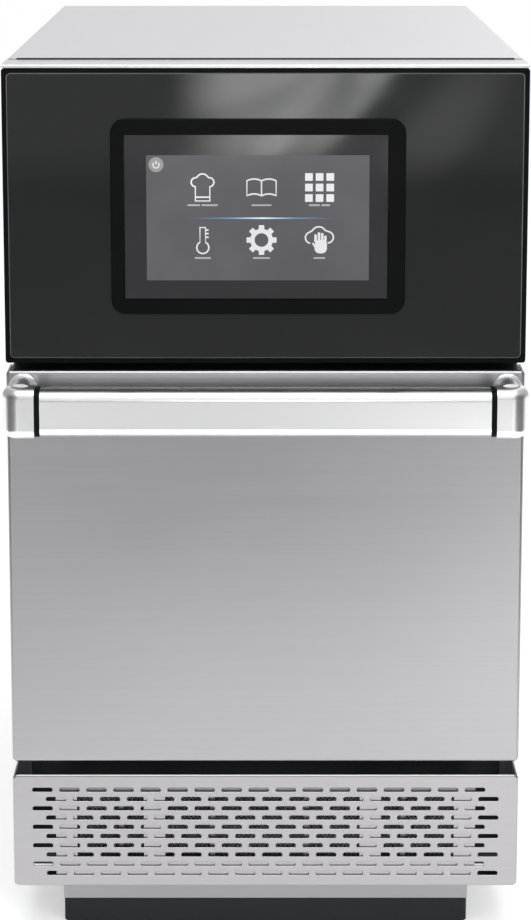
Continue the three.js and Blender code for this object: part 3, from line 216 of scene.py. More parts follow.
class Recipe(Graph):
    """The nodes of one material: a Principled shader and what feeds it."""

    def __init__(self, name: str) -> None:
        """Start a material with its shader and output.

        Args:
            name: The material's name.
        """
        self.material = bpy.data.materials.new(name)
        self.material.use_nodes = True
        super().__init__(self.material.node_tree)
        self.shader = self.add("BsdfPrincipled")
        self.add("OutputMaterial", {"Surface": self.shader.outputs["BSDF"]})
        self.place = self.add("TexCoord").outputs["Object"]

    def surface(self, inputs: Inputs) -> None:
        """Link or set inputs of the surface's shader."""
        self.feed(self.shader, inputs)

    def stretched(self, repeats: Triple, turn: Triple = (0.0, 0.0, 0.0)) -> Socket:
        """Give the piece's coordinates in repeats per metre along each axis, turned in radians."""
        inputs = {"Vector": self.place, "Scale": repeats, "Rotation": turn}
        return self.add("Mapping", inputs).outputs["Vector"]

    def noise(self, place: Socket, detail: float) -> Socket:
        """Add a cloud-like noise with so many finer layers, and give its value, from 0 to 1."""
        inputs = {"Vector": place, "Scale": 1.0, "Detail": detail}
        return self.add("TexNoise", inputs).outputs["Fac"]

    def cloud(self, repeats: float, detail: float = 2.0) -> Socket:
        """Add a noise with the same repeats per metre along all axes."""
        return self.noise(self.stretched((repeats,) * 3), detail)

    def cells(self, repeats: float) -> Socket:
        """Add a cell pattern and give the distance to the nearest cell's middle."""
        place = self.stretched((repeats,) * 3)
        return self.add("TexVoronoi", {"Vector": place, "Scale": 1.0}).outputs["Distance"]

    def toned(
        self, value: Socket, tone: Triple, change: float, ends: Pair = MIDDLE_RANGE
    ) -> Socket:
        """Turn a value into a tone, a share darker at the low end and lighter at the high end."""
        tones = (shade(tone, 1 - change), shade(tone, 1 + change))
        return self.colours(value, list(zip(ends, tones)))

    def span(self, value: Socket, ends: Pair) -> Socket:
        """Spread a noise's middle range between two numbers.

        Args:
            value: The noise.
            ends: The numbers at its low and its high end.

        Returns:
            The spread value.
        """
        names = ("From Min", "From Max", "To Min", "To Max")
        limits = dict(zip(names, (*MIDDLE_RANGE, *ends)))
        return self.add("MapRange", {"Value": value, **limits}).outputs["Result"]

    def mixed(self, first: Socket, second: Socket, share: float) -> Socket:
        """Mix two values, with a share of the second."""
        return self.add("Mix", {0: share, 2: first, 3: second}).outputs[0]

    def relief(self, height: Socket, strength: float, depth: float) -> None:
        """Give the surface a fine relief, by its height from 0 to 1 and its depth in metres."""
        inputs = {"Height": height, "Strength": strength, "Distance": depth}
        self.surface({"Normal": self.add("Bump", inputs).outputs["Normal"]})


@dataclass(frozen=True)
class Finish(ABC):
    """What every finish has: a name, a middle tone and a way to its material."""

    name: str
    tone: Triple

    @abstractmethod
    def mix(self, recipe: Recipe) -> None:
        """Set up the nodes of this kind of finish."""

    def material(self) -> Material:
        """Make the material.

        Returns:
            The material.
        """
        recipe = Recipe(self.name)
        self.mix(recipe)
        return recipe.material


@dataclass(frozen=True)
class BrushedSteel(Finish):
    """Stainless sheet with a fine grain along one axis."""

    grain: Axis
    streak: float = 0.05
    rough: Pair = (0.3, 0.37)
    along: float = 6.0
    across: float = 480.0
    cloud: float = 7.0
    cloud_share: float = 0.4
    bump: float = 0.35
    depth: float = 0.01 * MM

    def mix(self, recipe: Recipe) -> None:
        """Draw the grain out along the sheet.

        Args:
            recipe: The material's nodes.
        """
        repeats = [self.across] * 3
        repeats[self.grain.value] = self.along
        grain = recipe.noise(recipe.stretched(tuple(repeats)), detail=2.0)
        tone = recipe.mixed(grain, recipe.cloud(self.cloud), self.cloud_share)
        colour = recipe.toned(tone, self.tone, self.streak, WIDE_RANGE)
        rough = recipe.span(tone, self.rough)
        recipe.surface({"Base Color": colour, "Roughness": rough, "Metallic": 1.0})
        recipe.relief(grain, self.bump, self.depth)


@dataclass(frozen=True)
class SatinMetal(Finish):
    """Cast or anodised metal with an even, slightly mottled face."""

    rough: Pair
    grit: float = 500.0
    mottle: float = 60.0
    mottle_share: float = 0.5
    change: float = 0.02
    bump: float = 0.25
    depth: float = 0.003 * MM

    def mix(self, recipe: Recipe) -> None:
        """Lay a grit over a soft mottle.

        Args:
            recipe: The material's nodes.
        """
        grit = recipe.cloud(self.grit)
        mottle = recipe.cloud(self.mottle, detail=3.0)
        tone = recipe.mixed(grit, mottle, self.mottle_share)
        colour = recipe.toned(tone, self.tone, self.change)
        rough = recipe.span(mottle, self.rough)
        recipe.surface({"Base Color": colour, "Roughness": rough, "Metallic": 1.0})
        recipe.relief(grit, self.bump, self.depth)


@dataclass(frozen=True)
class PolishedGlass(Finish):
    """Glass that is dark from behind, with faint wipe marks on its face."""

    rough: Pair = (0.04, 0.1)
    wipe: Triple = (9.0, 9.0, 27.0)
    wipe_turn: Triple = (0.0, 0.6, 0.0)
    dust: float = 450.0
    dust_share: float = 0.3
    change: float = 0.15
    refraction: float = 1.52

    def mix(self, recipe: Recipe) -> None:
        """Break the gloss by slanted wipe marks.

        Args:
            recipe: The material's nodes.
        """
        wipe = recipe.noise(recipe.stretched(self.wipe, self.wipe_turn), detail=4.0)
        tone = recipe.mixed(wipe, recipe.cloud(self.dust), self.dust_share)
        colour = recipe.toned(tone, self.tone, self.change)
        rough = recipe.span(wipe, self.rough)
        recipe.surface({"Base Color": colour, "Roughness": rough, "IOR": self.refraction})


@dataclass(frozen=True)
class MouldedPlastic(Finish):
    """Moulded plastic, rubber or ceramic with a fine pebbled face."""

    rough: Pair
    pebble: float = 1400.0
    sheen: float = 0.5
    cloud: float = 25.0
    change: float = 0.18
    bump: float = 0.3
    depth: float = 0.04 * MM

    def mix(self, recipe: Recipe) -> None:
        """Set pebbles under a faint change of tone.

        Args:
            recipe: The material's nodes.
        """
        cloud = recipe.cloud(self.cloud, detail=4.0)
        colour = recipe.toned(cloud, self.tone, self.change)
        rough = recipe.span(cloud, self.rough)
        recipe.surface(
            {"Base Color": colour, "Roughness": rough, "Specular IOR Level": self.sheen}
        )
        recipe.relief(recipe.cells(self.pebble), self.bump, self.depth)


@dataclass(frozen=True)
class CoatedSteel(Finish):
    """Powder-coated or galvanised sheet, with the coat's slow waves."""

    rough: Pair = (0.35, 0.5)
    metallic: float = 0.0
    wave: float = 380.0
    cloud: float = 14.0
    change: float = 0.14
    bump: float = 0.25
    depth: float = 0.06 * MM

    def mix(self, recipe: Recipe) -> None:
        """Lay the coat's waves over a faint change of tone.

        Args:
            recipe: The material's nodes.
        """
        cloud = recipe.cloud(self.cloud, detail=5.0)
        colour = recipe.toned(cloud, self.tone, self.change)
        rough = recipe.span(cloud, self.rough)
        recipe.surface({"Base Color": colour, "Roughness": rough, "Metallic": self.metallic})
        recipe.relief(recipe.cloud(self.wave), self.bump, self.depth)


@dataclass(frozen=True)
class FibreBlanket(Finish):
    """A pressed mineral fibre blanket."""

    rough: Pair = (0.85, 1.0)
    strand: Triple = (900.0, 120.0, 500.0)
    strand_turn: Triple = (0.3, 0.2, 0.5)
    tuft: float = 60.0
    tuft_share: float = 0.5
    dark: float = 0.7
    light: float = 1.1
    bump: float = 0.8
    depth: float = 0.6 * MM

    def mix(self, recipe: Recipe) -> None:
        """Mat the fibres, with lighter and darker tufts.

        Args:
            recipe: The material's nodes.
        """
        fibres = recipe.noise(recipe.stretched(self.strand, self.strand_turn), detail=5.0)
        tufts = recipe.cloud(self.tuft, detail=4.0)
        tone = recipe.mixed(fibres, tufts, self.tuft_share)
        tones = (shade(self.tone, self.dark), shade(self.tone, self.light))
        colour = recipe.colours(tone, list(zip(MIDDLE_RANGE, tones)))
        recipe.surface({"Base Color": colour, "Roughness": recipe.span(tufts, self.rough)})
        recipe.relief(tone, self.bump, self.depth)


@dataclass(frozen=True)
class PrintedBoard(Finish):
    """A green circuit board whose tracks show under its lacquer."""

    track: Triple
    rough: Pair = (0.3, 0.5)
    repeats: float = 180.0
    track_width: float = 0.06
    dark: float = 0.8
    cloud: float = 80.0
    bump: float = 0.3
    depth: float = 0.05 * MM

    def mix(self, recipe: Recipe) -> None:
        """Lay square-set tracks over the board's green.

        Args:
            recipe: The material's nodes.
        """
        inputs = {
            "Vector": recipe.stretched((self.repeats,) * 3),
            "Scale": 1.0,
            "Color1": (*self.tone, 1.0),
            "Color2": (*shade(self.tone, self.dark), 1.0),
            "Mortar": (*self.track, 1.0),
            "Mortar Size": self.track_width,
        }
        tracks = recipe.add("TexBrick", inputs)
        rough = recipe.span(recipe.cloud(self.cloud, detail=3.0), self.rough)
        recipe.surface({"Base Color": tracks.outputs["Color"], "Roughness": rough})
        recipe.relief(tracks.outputs["Fac"], self.bump, self.depth)


@dataclass(frozen=True)
class LitDisplay(Finish):
    """What a lit display shows: a colour that glows through the glass."""

    glow: float
    rough: Pair = (0.06, 0.1)
    cloud: float = 22.0
    change: float = 0.12
    unlit: Triple = (0.012, 0.012, 0.013)
    sheen: float = 0.12

    def lit(self, recipe: Recipe, cloud: Socket) -> Socket:
        """Give the glow's colour, slightly uneven."""
        return recipe.toned(cloud, self.tone, self.change, WIDE_RANGE)

    def mix(self, recipe: Recipe) -> None:
        """Let the colour glow.

        Args:
            recipe: The material's nodes.
        """
        cloud = recipe.cloud(self.cloud)
        recipe.surface(
            {
                "Base Color": (*self.unlit, 1.0),
                "Roughness": recipe.span(cloud, self.rough),
                "Specular IOR Level": self.sheen,
                "Emission Color": self.lit(recipe, cloud),
                "Emission Strength": self.glow,
            }
        )


@dataclass(frozen=True)
class LitLine(LitDisplay):
    """A lit line across the display, which fades from its middle to both ends."""

    middle: float = -2.3 * MM
    reach: float = 53.5 * MM
    core: Triple = (0.75, 0.9, 1.0)
    tip: Triple = (0.09, 0.09, 0.095)
    full_tone: float = 0.4

    def lit(self, recipe: Recipe, cloud: Socket) -> Socket:
        """Give the glow's colour by the distance from the line's middle.

        Args:
            recipe: The material's nodes.
            cloud: Not used here, because the line is too thin to show it.

        Returns:
            The colour.
        """
        across = recipe.add("SeparateXYZ", {"Vector": recipe.place}).outputs["X"]
        way = recipe.add("Math", {0: across, 1: self.middle}, operation="SUBTRACT")
        away = recipe.add("Math", {0: way.outputs["Value"]}, operation="ABSOLUTE")
        limits = {"Value": away.outputs["Value"], "From Max": self.reach}
        share = recipe.add("MapRange", limits).outputs["Result"]
        stops = [(0.0, self.core), (self.full_tone, self.tone), (1.0, self.tip)]
        return recipe.colours(share, stops)


def anything(middle: Vector, way: Vector) -> bool:
    """Pass every part."""
    return True


def along(axis: Axis) -> Test:
    """Make a test for edges that run along an axis, or faces square to it."""
    return lambda middle, way: abs(way[axis.value]) > STRAIGHT


def facing(axis: Axis, sign: int) -> Test:
    """Make a test for faces that look along an axis, up it or down it."""
    return lambda middle, way: way[axis.value] * sign > STRAIGHT


def leaning(axis: Axis, sign: int) -> Test:
    """Make a test for faces that lean towards an axis, up it or down it."""
    return lambda middle, way: way[axis.value] * sign > LEAN


def at(axis: Axis, place: float) -> Test:
    """Make a test for parts whose middle is at a place on an axis."""
    return lambda middle, way: abs(middle[axis.value] - place) < CLOSE


def between(axis: Axis, start: float, end: float = math.inf) -> Test:
    """Make a test for parts whose middle is between two places on an axis."""
    return lambda middle, way: start < middle[axis.value] < end


def every(*tests: Test) -> Test:
    """Make a test that passes where all the given ones do."""
    return lambda middle, way: all(test(middle, way) for test in tests)


def some(*tests: Test) -> Test:
    """Make a test that passes where one of the given ones does."""
    return lambda middle, way: any(test(middle, way) for test in tests)


def unless(test: Test) -> Test:
    """Make a test that passes where the given one doesn't."""
    return lambda middle, way: not test(middle, way)


def rim(axis: Axis, place: float) -> Test:
    """Make a test for the edges round an end that is at a place on an axis."""
    return every(at(axis, place), unless(along(axis)))


class Bench:
    """Modelling moves on one piece at a time, with Blender's own tools."""

    LINE_FLATNESS = 0.1

    @staticmethod
    def clear() -> None:
        """Let go of every object."""
        bpy.ops.object.select_all(action="DESELECT")

    @staticmethod
    def hold(piece: Piece) -> None:
        """Select one piece alone and make it the active one.

        Args:
            piece: The piece.
        """
        Bench.clear()
        piece.select_set(True)
        bpy.context.view_layer.objects.active = piece

    @staticmethod
    def settled(name: str) -> Piece:
        """Name the new active object and put its place and size into its mesh.

        Args:
            name: The piece's name.

        Returns:
            The piece, its object at the origin.
        """
        piece = bpy.context.view_layer.objects.active
        piece.name = name
        piece.data.name = name
        bpy.ops.object.transform_apply(location=True, rotation=True, scale=True)
        return piece

    @staticmethod
    def placed(piece: Piece, place: Matrix) -> Piece:
        """Put a piece somewhere, and that place into its mesh.

        Args:
            piece: The piece.
            place: Its new place, turn and size.

        Returns:
            The piece.
        """
        Bench.hold(piece)
        piece.matrix_world = place
        return Bench.settled(piece.name)

    @staticmethod
    def block(name: str, low: Sequence[float], high: Sequence[float]) -> Piece:
        """Start a piece from a cuboid.

        Args:
            name: The piece's name.
            low: Its lowest corner.
            high: Its highest corner.

        Returns:
            The piece.
        """
        Bench.clear()
        low, high = Vector(low), Vector(high)
        bpy.ops.mesh.primitive_cube_add(size=1.0, location=(low + high) / 2, scale=high - low)
        return Bench.settled(name)

    @staticmethod
    def inner_block(name: str, node: str, borders: Pair, front: float, back: float) -> Piece:
        """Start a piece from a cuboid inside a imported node's outline, as seen from the front.

        Args:
            name: The piece's name.
            node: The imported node.
            borders: How far it stays inside that outline, at the sides and above and below.
            front: Where it starts along Y.
            back: Where it ends along Y.

        Returns:
            The piece.
        """
        low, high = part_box(node)
        side, rise = borders
        start = (low.x + side, front, low.z + rise)
        return Bench.block(name, start, (high.x - side, back, high.z - rise))

    @staticmethod
    def rod(
        name: str, radius: float, axis: Axis, start: Triple, length: float, sides: int = 32
    ) -> Piece:
        """Start a piece from a cylinder.

        Args:
            name: The piece's name.
            radius: Its radius.
            axis: The axis that it runs along.
            start: The middle of its lower end.
            length: Its length.
            sides: How many sides it has.

        Returns:
            The piece.
        """
        Bench.clear()
        turns = {Axis.X: (0.0, math.pi / 2, 0.0), Axis.Y: (math.pi / 2, 0.0, 0.0)}
        middle = Vector(start)
        middle[axis.value] += length / 2
        bpy.ops.mesh.primitive_cylinder_add(
            vertices=sides,
            radius=radius,
            depth=length,
            location=middle,
            rotation=turns.get(axis, (0.0, 0.0, 0.0)),
        )
        return Bench.settled(name)

    @staticmethod
    @contextmanager
    def editing(piece: Piece, part: Part, test: Test) -> Iterator[None]:
        """Edit a piece with the parts that pass a test selected.

        Args:
            piece: The piece.
            part: Whether the test picks edges or faces.
            test: Takes a part's middle, and a face's normal or an edge's direction.
        """
        Bench.hold(piece)
        bpy.ops.object.mode_set(mode="EDIT")
        bpy.ops.mesh.select_mode(type=part.value)
        bpy.ops.mesh.select_all(action="DESELECT")
        mesh = bmesh.from_edit_mesh(piece.data)
        if part is Part.FACE:
            for face in mesh.faces:
                face.select_set(test(face.calc_center_median(), face.normal))
        else:
            for edge in mesh.edges:
                start, end = (vertex.co for vertex in edge.verts)
                edge.select_set(test((start + end) / 2, (end - start).normalized()))
        bmesh.update_edit_mesh(piece.data)
        yield
        bpy.ops.object.mode_set(mode="OBJECT")

    @staticmethod
    def rounded(piece: Piece, test: Test, radius: float, steps: int) -> Piece:
        """Round the edges that pass a test.

        Args:
            piece: The piece.
            test: Picks the edges.
            radius: The rounding's radius.
            steps: How many faces the rounding has.

        Returns:
            The piece.
        """
        with Bench.editing(piece, Part.EDGE, test):
            bpy.ops.mesh.bevel(offset=radius, segments=steps, affect="EDGES")
        return piece

    @staticmethod
    def dropped(piece: Piece, test: Test) -> Piece:
        """Delete the faces that pass a test.

        Args:
            piece: The piece.
            test: Picks the faces.

        Returns:
            The piece.
        """
        with Bench.editing(piece, Part.FACE, test):
            bpy.ops.mesh.delete(type="FACE")
        return piece

    @staticmethod
    def cut(piece: Piece, axis: Axis, place: float, drop: int = 0) -> Piece:
        """Cut every face along a plane square to an axis.

        Args:
            piece: The piece.
            axis: The axis.
            place: Where the plane crosses it.
            drop: 1 or -1 to cut off what lies up or down the axis and close the cut, 0 to keep all.

        Returns:
            The piece.
        """
        point, normal = Vector(), Vector()
        point[axis.value] = place
        normal[axis.value] = drop or 1
        with Bench.editing(piece, Part.FACE, anything):
            bpy.ops.mesh.bisect(
                plane_co=point, plane_no=normal, clear_outer=drop != 0, use_fill=drop != 0
            )
        return piece

    @staticmethod
    def moved(piece: Piece, test: Callable[[Vector], bool], move: Triple) -> Piece:
        """Move the points that pass a test.

        Args:
            piece: The piece.
            test: Takes a point's place.
            move: How far they go.

        Returns:
            The piece.
        """
        with Bench.editing(piece, Part.FACE, unless(anything)):
            bpy.ops.mesh.select_mode(type="VERT")
            mesh = bmesh.from_edit_mesh(piece.data)
            for vertex in mesh.verts:
                vertex.select_set(test(vertex.co))
            bmesh.update_edit_mesh(piece.data)
            bpy.ops.transform.translate(value=move)
        return piece

    @staticmethod
    def drawn(piece: Piece, test: Test, move: Triple, border: float = 0.0) -> Piece:
        """Extrude the faces that pass a test, inside a border of their own where one is given.

        Args:
            piece: The piece.
            test: Picks the faces.
            move: How far they go.
            border: The border's width.

        Returns:
            The piece.
        """
        with Bench.editing(piece, Part.FACE, test):
            if border:
                bpy.ops.mesh.inset(thickness=border, depth=0.0)
            bpy.ops.mesh.extrude_region_move(TRANSFORM_OT_translate={"value": move})
        return piece

    @staticmethod
    def applied(piece: Piece, kind: str, **settings: object) -> Piece:
        """Add a modifier and apply it.

        Args:
            piece: The piece.
            kind: The modifier's type.
            **settings: Its settings.

        Returns:
            The piece.
        """
        Bench.hold(piece)
        modifier = piece.modifiers.new(kind.title(), kind)
        for name, value in settings.items():
            setattr(modifier, name, value)
        bpy.ops.object.modifier_apply(modifier=modifier.name)
        return piece

    @staticmethod
    def repeated(piece: Piece, count: int, step: Triple) -> Piece:
        """Repeat a piece in a row.

        Args:
            piece: The piece.
            count: How many there are in the row.
            step: The way from one to the next.

        Returns:
            The row.
        """
        settings = {"use_relative_offset": False, "use_constant_offset": True}
        settings |= {"count": count, "constant_offset_displace": step}
        return Bench.applied(piece, "ARRAY", **settings)

    @staticmethod
    def thickened(piece: Piece, sheet: float) -> Piece:
        """Give an open shell its sheet's thickness, inwards."""
        settings = {"thickness": sheet, "offset": -1.0, "use_even_offset": True}
        return Bench.applied(piece, "SOLIDIFY", **settings)

    @staticmethod
    def combined(piece: Piece, other: Piece, use: Use) -> Piece:
        """Join or cut solids, and use the second one up.

        Args:
            piece: The piece that is kept.
            other: The second solid.
            use: Whether it is joined to the piece or cut from it.

        Returns:
            The piece.
        """
        Bench.applied(piece, "BOOLEAN", object=other, operation=use.value, solver="EXACT")
        bpy.data.objects.remove(other)
        return piece

    @staticmethod
    def joined(piece: Piece, other: Piece) -> Piece:
        """Join a second solid to a piece."""
        return Bench.combined(piece, other, Use.JOIN)

    @staticmethod
    def opened(piece: Piece, cutter: Piece) -> Piece:
        """Cut a second solid from a piece."""
        return Bench.combined(piece, cutter, Use.CUT)

    @staticmethod
    def merged(name: str, pieces: Sequence[Piece]) -> Piece:
        """Put several meshes into one object.

        Args:
            name: The piece's name.
            pieces: The meshes.

        Returns:
            The piece.
        """
        Bench.hold(pieces[0])
        for piece in pieces[1:]:
            piece.select_set(True)
        if len(pieces) > 1:
            bpy.ops.object.join()
        pieces[0].name = name
        pieces[0].data.name = name
        return pieces[0]

    @staticmethod
    def copied(piece: Piece, name: str, move: Triple = ORIGIN) -> Piece:
        """Copy a piece with a mesh of its own, moved in its mesh.

        Args:
            piece: The piece.
            name: The copy's name.
            move: How far the copy is moved.

        Returns:
            The copy.
        """
        Bench.hold(piece)
        bpy.ops.object.duplicate(linked=False)
        copy = bpy.context.view_layer.objects.active
        copy.location = move
        return Bench.settled(name)

    @staticmethod
    def copies(pattern: Piece, moves: Sequence[Triple]) -> list[Piece]:
        """Copy a pattern to several places, and use it up.

        Args:
            pattern: The piece that is copied.
            moves: How far each copy is moved.

        Returns:
            The copies.
        """
        name = pattern.name
        pieces = [Bench.copied(pattern, f"{name}_{step}", move) for step, move in enumerate(moves)]
        bpy.data.objects.remove(pattern)
        return pieces

    @staticmethod
    def mirrored(piece: Piece, name: str) -> Piece:
        """Copy a piece to the oven's other side, its faces outward."""
        copy = Bench.copied(piece, name)
        return Bench.outward(Bench.placed(copy, Matrix.Diagonal((-1, 1, 1, 1))))

    @staticmethod
    def outward(piece: Piece) -> Piece:
        """Merge doubles and turn every face outwards.

        Args:
            piece: The piece.

        Returns:
            The piece.
        """
        with Bench.editing(piece, Part.FACE, anything):
            bpy.ops.mesh.remove_doubles(threshold=CLOSE / 4)
            bpy.ops.mesh.normals_make_consistent(inside=False)
        return piece

    @staticmethod
    def smoothed(piece: Piece, angle: float = 32.0) -> Piece:
        """Shade a piece smooth, and keep its flat faces flat.

        Args:
            piece: The piece.
            angle: Edges sharper than this, in degrees, stay sharp.

        Returns:
            The piece.
        """
        Bench.hold(piece)
        bpy.ops.object.shade_smooth_by_angle(angle=math.radians(angle))
        return Bench.applied(piece, "WEIGHTED_NORMAL", keep_sharp=True, weight=100)

    @staticmethod
    def eased(piece: Piece, radius: float, steps: int = 2, angle: float = 40.0) -> Piece:
        """Ease the edges that are sharper than an angle in degrees."""
        limits = {"limit_method": "ANGLE", "angle_limit": math.radians(angle)}
        return Bench.applied(piece, "BEVEL", width=radius, segments=steps, **limits)

    @staticmethod
    def line(name: str, points: Sequence[Triple], width: float, closed: bool = False) -> Piece:
        """Draw a flat line of even width as a mesh.

        Args:
            name: The piece's name.
            points: The line's points, all at the same place along Y.
            width: Its width.
            closed: Whether it comes back to its start.

        Returns:
            The piece.
        """
        curve = bpy.data.curves.new(name, "CURVE")
        curve.dimensions = "3D"
        curve.bevel_depth = width / 2
        curve.bevel_resolution = 2
        curve.use_fill_caps = not closed
        spline = curve.splines.new("POLY")
        spline.points.add(len(points) - 1)
        for point, (x, _, z) in zip(spline.points, points):
            point.co = (x, 0.0, z, 1.0)
        spline.use_cyclic_u = closed
        drawn = bpy.data.objects.new(name, curve)
        bpy.context.scene.collection.objects.link(drawn)
        Bench.hold(drawn)
        bpy.ops.object.convert(target="MESH")
        drawn = bpy.context.view_layer.objects.active
        drawn.scale = (1.0, Bench.LINE_FLATNESS, 1.0)
        drawn.location = (0.0, points[0][1], 0.0)
        return Bench.settled(name)


def dressed(piece: Piece, *materials: Material) -> Piece:
    """Give a new piece its finishes.

    Args:
        piece: The piece.
        *materials: Its finishes, the main one first.

    Returns:
        The piece.
    """
    piece.data.materials.clear()
    for material in materials:
        piece.data.materials.append(material)
    return piece


def delivered(piece: Piece, body: Body, slot: Slot | None = None, *stands_for: str) -> None:
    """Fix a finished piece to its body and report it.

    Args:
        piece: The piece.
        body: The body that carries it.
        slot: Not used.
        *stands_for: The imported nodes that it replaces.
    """
    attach(piece, body.value)
    if stands_for:
        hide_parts(*stands_for)
    LOG.info("%s rides on %s, %d faces", piece.name, body.value, len(piece.data.polygons))


def redressed(material: Material, *names: str) -> None:
    """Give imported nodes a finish.

    Args:
        material: The finish.
        *names: The nodes.
    """
    for name in names:
        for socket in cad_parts[name].material_slots:
            socket.material = material
        LOG.info("%s keeps its solid, in %s", name, material.name)


@dataclass(frozen=True)
class Finishes:
    """Every material of the oven, made once."""

    casing: Material
    door: Material
    grille: Material
    filter_frame: Material
    plinth: Material
    side: Material
    cavity: Material
    handle: Material
    bracket: Material
    black_steel: Material
    dark_steel: Material
    zinc: Material
    glass: Material
    edge_glint: Material
    screen: Material
    picture: Material
    icon: Material
    bar: Material
    divider: Material
    button: Material
    plastic: Material
    rubber: Material
    seal: Material
    fibre: Material
    ceramic: Material
    board: Material
    weave: Material

    @classmethod
    def made(cls) -> Finishes:
        """Make them all.

        Returns:
            The set.
        """
        mixes = {
            "casing": BrushedSteel("casing_steel_finish", (0.78, 0.776, 0.796), Axis.Y, 0.03),
            # The door's steel is toned darker than the top cover's, partly painted shade: it stands
            # in for the shade that the handle casts on the door.
            "door": BrushedSteel("door_shaded_steel_finish", (0.42, 0.418, 0.432), Axis.X, 0.04),
            "grille": BrushedSteel("grille_steel_finish", (0.425, 0.417, 0.431), Axis.X, 0.04),
            # A darker steel for the filter frame's set-back faces: painted shade in the recesses
            # behind the slots.
            "filter_frame": BrushedSteel(
                "filter_frame_shade_finish", (0.3, 0.297, 0.305), Axis.X, 0.06, (0.4, 0.55)
            ),
            # The plinth's steel is toned darker still: painted shade, for the plinth's place in the
            # shade under the grille.
            "plinth": BrushedSteel("plinth_shaded_steel_finish", (0.315, 0.315, 0.325), Axis.X),
            "side": BrushedSteel("side_steel_finish", (0.48, 0.478, 0.49), Axis.Y),
            "cavity": BrushedSteel(
                "cavity_steel_finish", (0.5, 0.5, 0.5), Axis.X, 0.06, (0.2, 0.34)
            ),
            "handle": SatinMetal("handle_finish", (0.95, 0.95, 0.955), (0.21, 0.25)),
            "bracket": SatinMetal("bracket_finish", (0.9, 0.9, 0.905), (0.27, 0.32)),
            # Black coat for the front frame and the door body: painted shade, so the gaps round the
            # door read dark.
            "black_steel": CoatedSteel("black_steel_finish", (0.016, 0.018, 0.02)),
            "dark_steel": CoatedSteel("dark_steel_finish", (0.2, 0.2, 0.21), metallic=0.8),
            "zinc": CoatedSteel(
                "zinc_finish", (0.5, 0.5, 0.48), (0.28, 0.4), metallic=1.0, wave=900.0
            ),
            "glass": PolishedGlass("fascia_glass_finish", (0.004, 0.0044, 0.0048)),
            # A lighter grey for the glass's chamfer: a painted highlight, the glint along the
            # glass's edge.
            "edge_glint": PolishedGlass("ground_edge_finish", (0.2, 0.205, 0.21), (0.3, 0.45)),
            "screen": PolishedGlass("screen_glass_finish", (0.016, 0.016, 0.018), (0.03, 0.07)),
            "picture": LitDisplay("picture_finish", (0.118, 0.118, 0.127), glow=0.9),
            "icon": LitDisplay("icon_finish", (0.86, 0.86, 0.9), glow=0.95),
            "bar": LitDisplay("bar_finish", (0.5, 0.5, 0.53), glow=0.9),
            "divider": LitLine("divider_finish", (0.16, 0.36, 0.6), glow=1.0),
            "button": LitDisplay("button_finish", (0.4, 0.395, 0.38), glow=0.8),
            "plastic": MouldedPlastic(
                "bezel_finish", (0.0028, 0.0036, 0.0034), (0.35, 0.5), sheen=0.06
            ),
            "rubber": MouldedPlastic(
                "foot_rubber_finish", (0.012, 0.013, 0.014), (0.6, 0.8), pebble=700.0, sheen=0.3
            ),
            "seal": MouldedPlastic(
                "seal_finish", (0.035, 0.035, 0.037), (0.55, 0.7), pebble=900.0
            ),
            "fibre": FibreBlanket("blanket_finish", (0.62, 0.55, 0.36)),
            "ceramic": MouldedPlastic(
                "ceramic_finish", (0.72, 0.7, 0.65), (0.25, 0.4), pebble=500.0
            ),
            "board": PrintedBoard("board_finish", (0.03, 0.13, 0.06), (0.08, 0.26, 0.12)),
            "weave": BrushedSteel("weave_finish", (0.62, 0.62, 0.64), Axis.Z, 0.2, (0.3, 0.45)),
        }
        return cls(**{use: finish.material() for use, finish in mixes.items()})


@dataclass
class Assembly(ABC):
    """A group of the oven's pieces, with its sizes and the finishes that dress it."""

    finishes: Finishes

    @abstractmethod
    def build(self) -> None:
        """Make the pieces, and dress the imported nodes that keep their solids."""


@dataclass
class Fastener:
    """A pan-head screw with a hexagon socket, made once and copied where one is needed."""

    radius: float = 3.4 * MM
    height: float = 1.3 * MM
    socket_radius: float = 1.5 * MM
    socket_depth: float = 0.9 * MM
    dome: float = 0.7 * MM

    def pattern(self, axis: Axis, sign: int) -> Piece:
        """Make one head at the origin.

        Args:
            axis: The axis that it looks along.
            sign: Whether it looks up or down that axis.

        Returns:
            The head, standing on the origin's plane.
        """
        face = sign * self.height
        start = [0.0, 0.0, 0.0]
        start[axis.value] = min(0.0, face)
        head = Bench.rod("screw_pattern", self.radius, axis, tuple(start), self.height, sides=24)
        Bench.rounded(head, at(axis, face), self.dome, steps=3)
        start[axis.value] = min(sign * (self.height - self.socket_depth), face + sign * MM)
        run = self.socket_depth + MM
        socket = Bench.rod("socket", self.socket_radius, axis, tuple(start), run, sides=6)
        return Bench.opened(head, socket)

    def row(self, name: str, axis: Axis, sign: int, places: Sequence[Triple]) -> Piece:
        """Make a set of heads as one piece, each with the middle of its seat at a place."""
        heads = Bench.copies(self.pattern(axis, sign), places)
        return Bench.smoothed(Bench.merged(name, heads), angle=30)


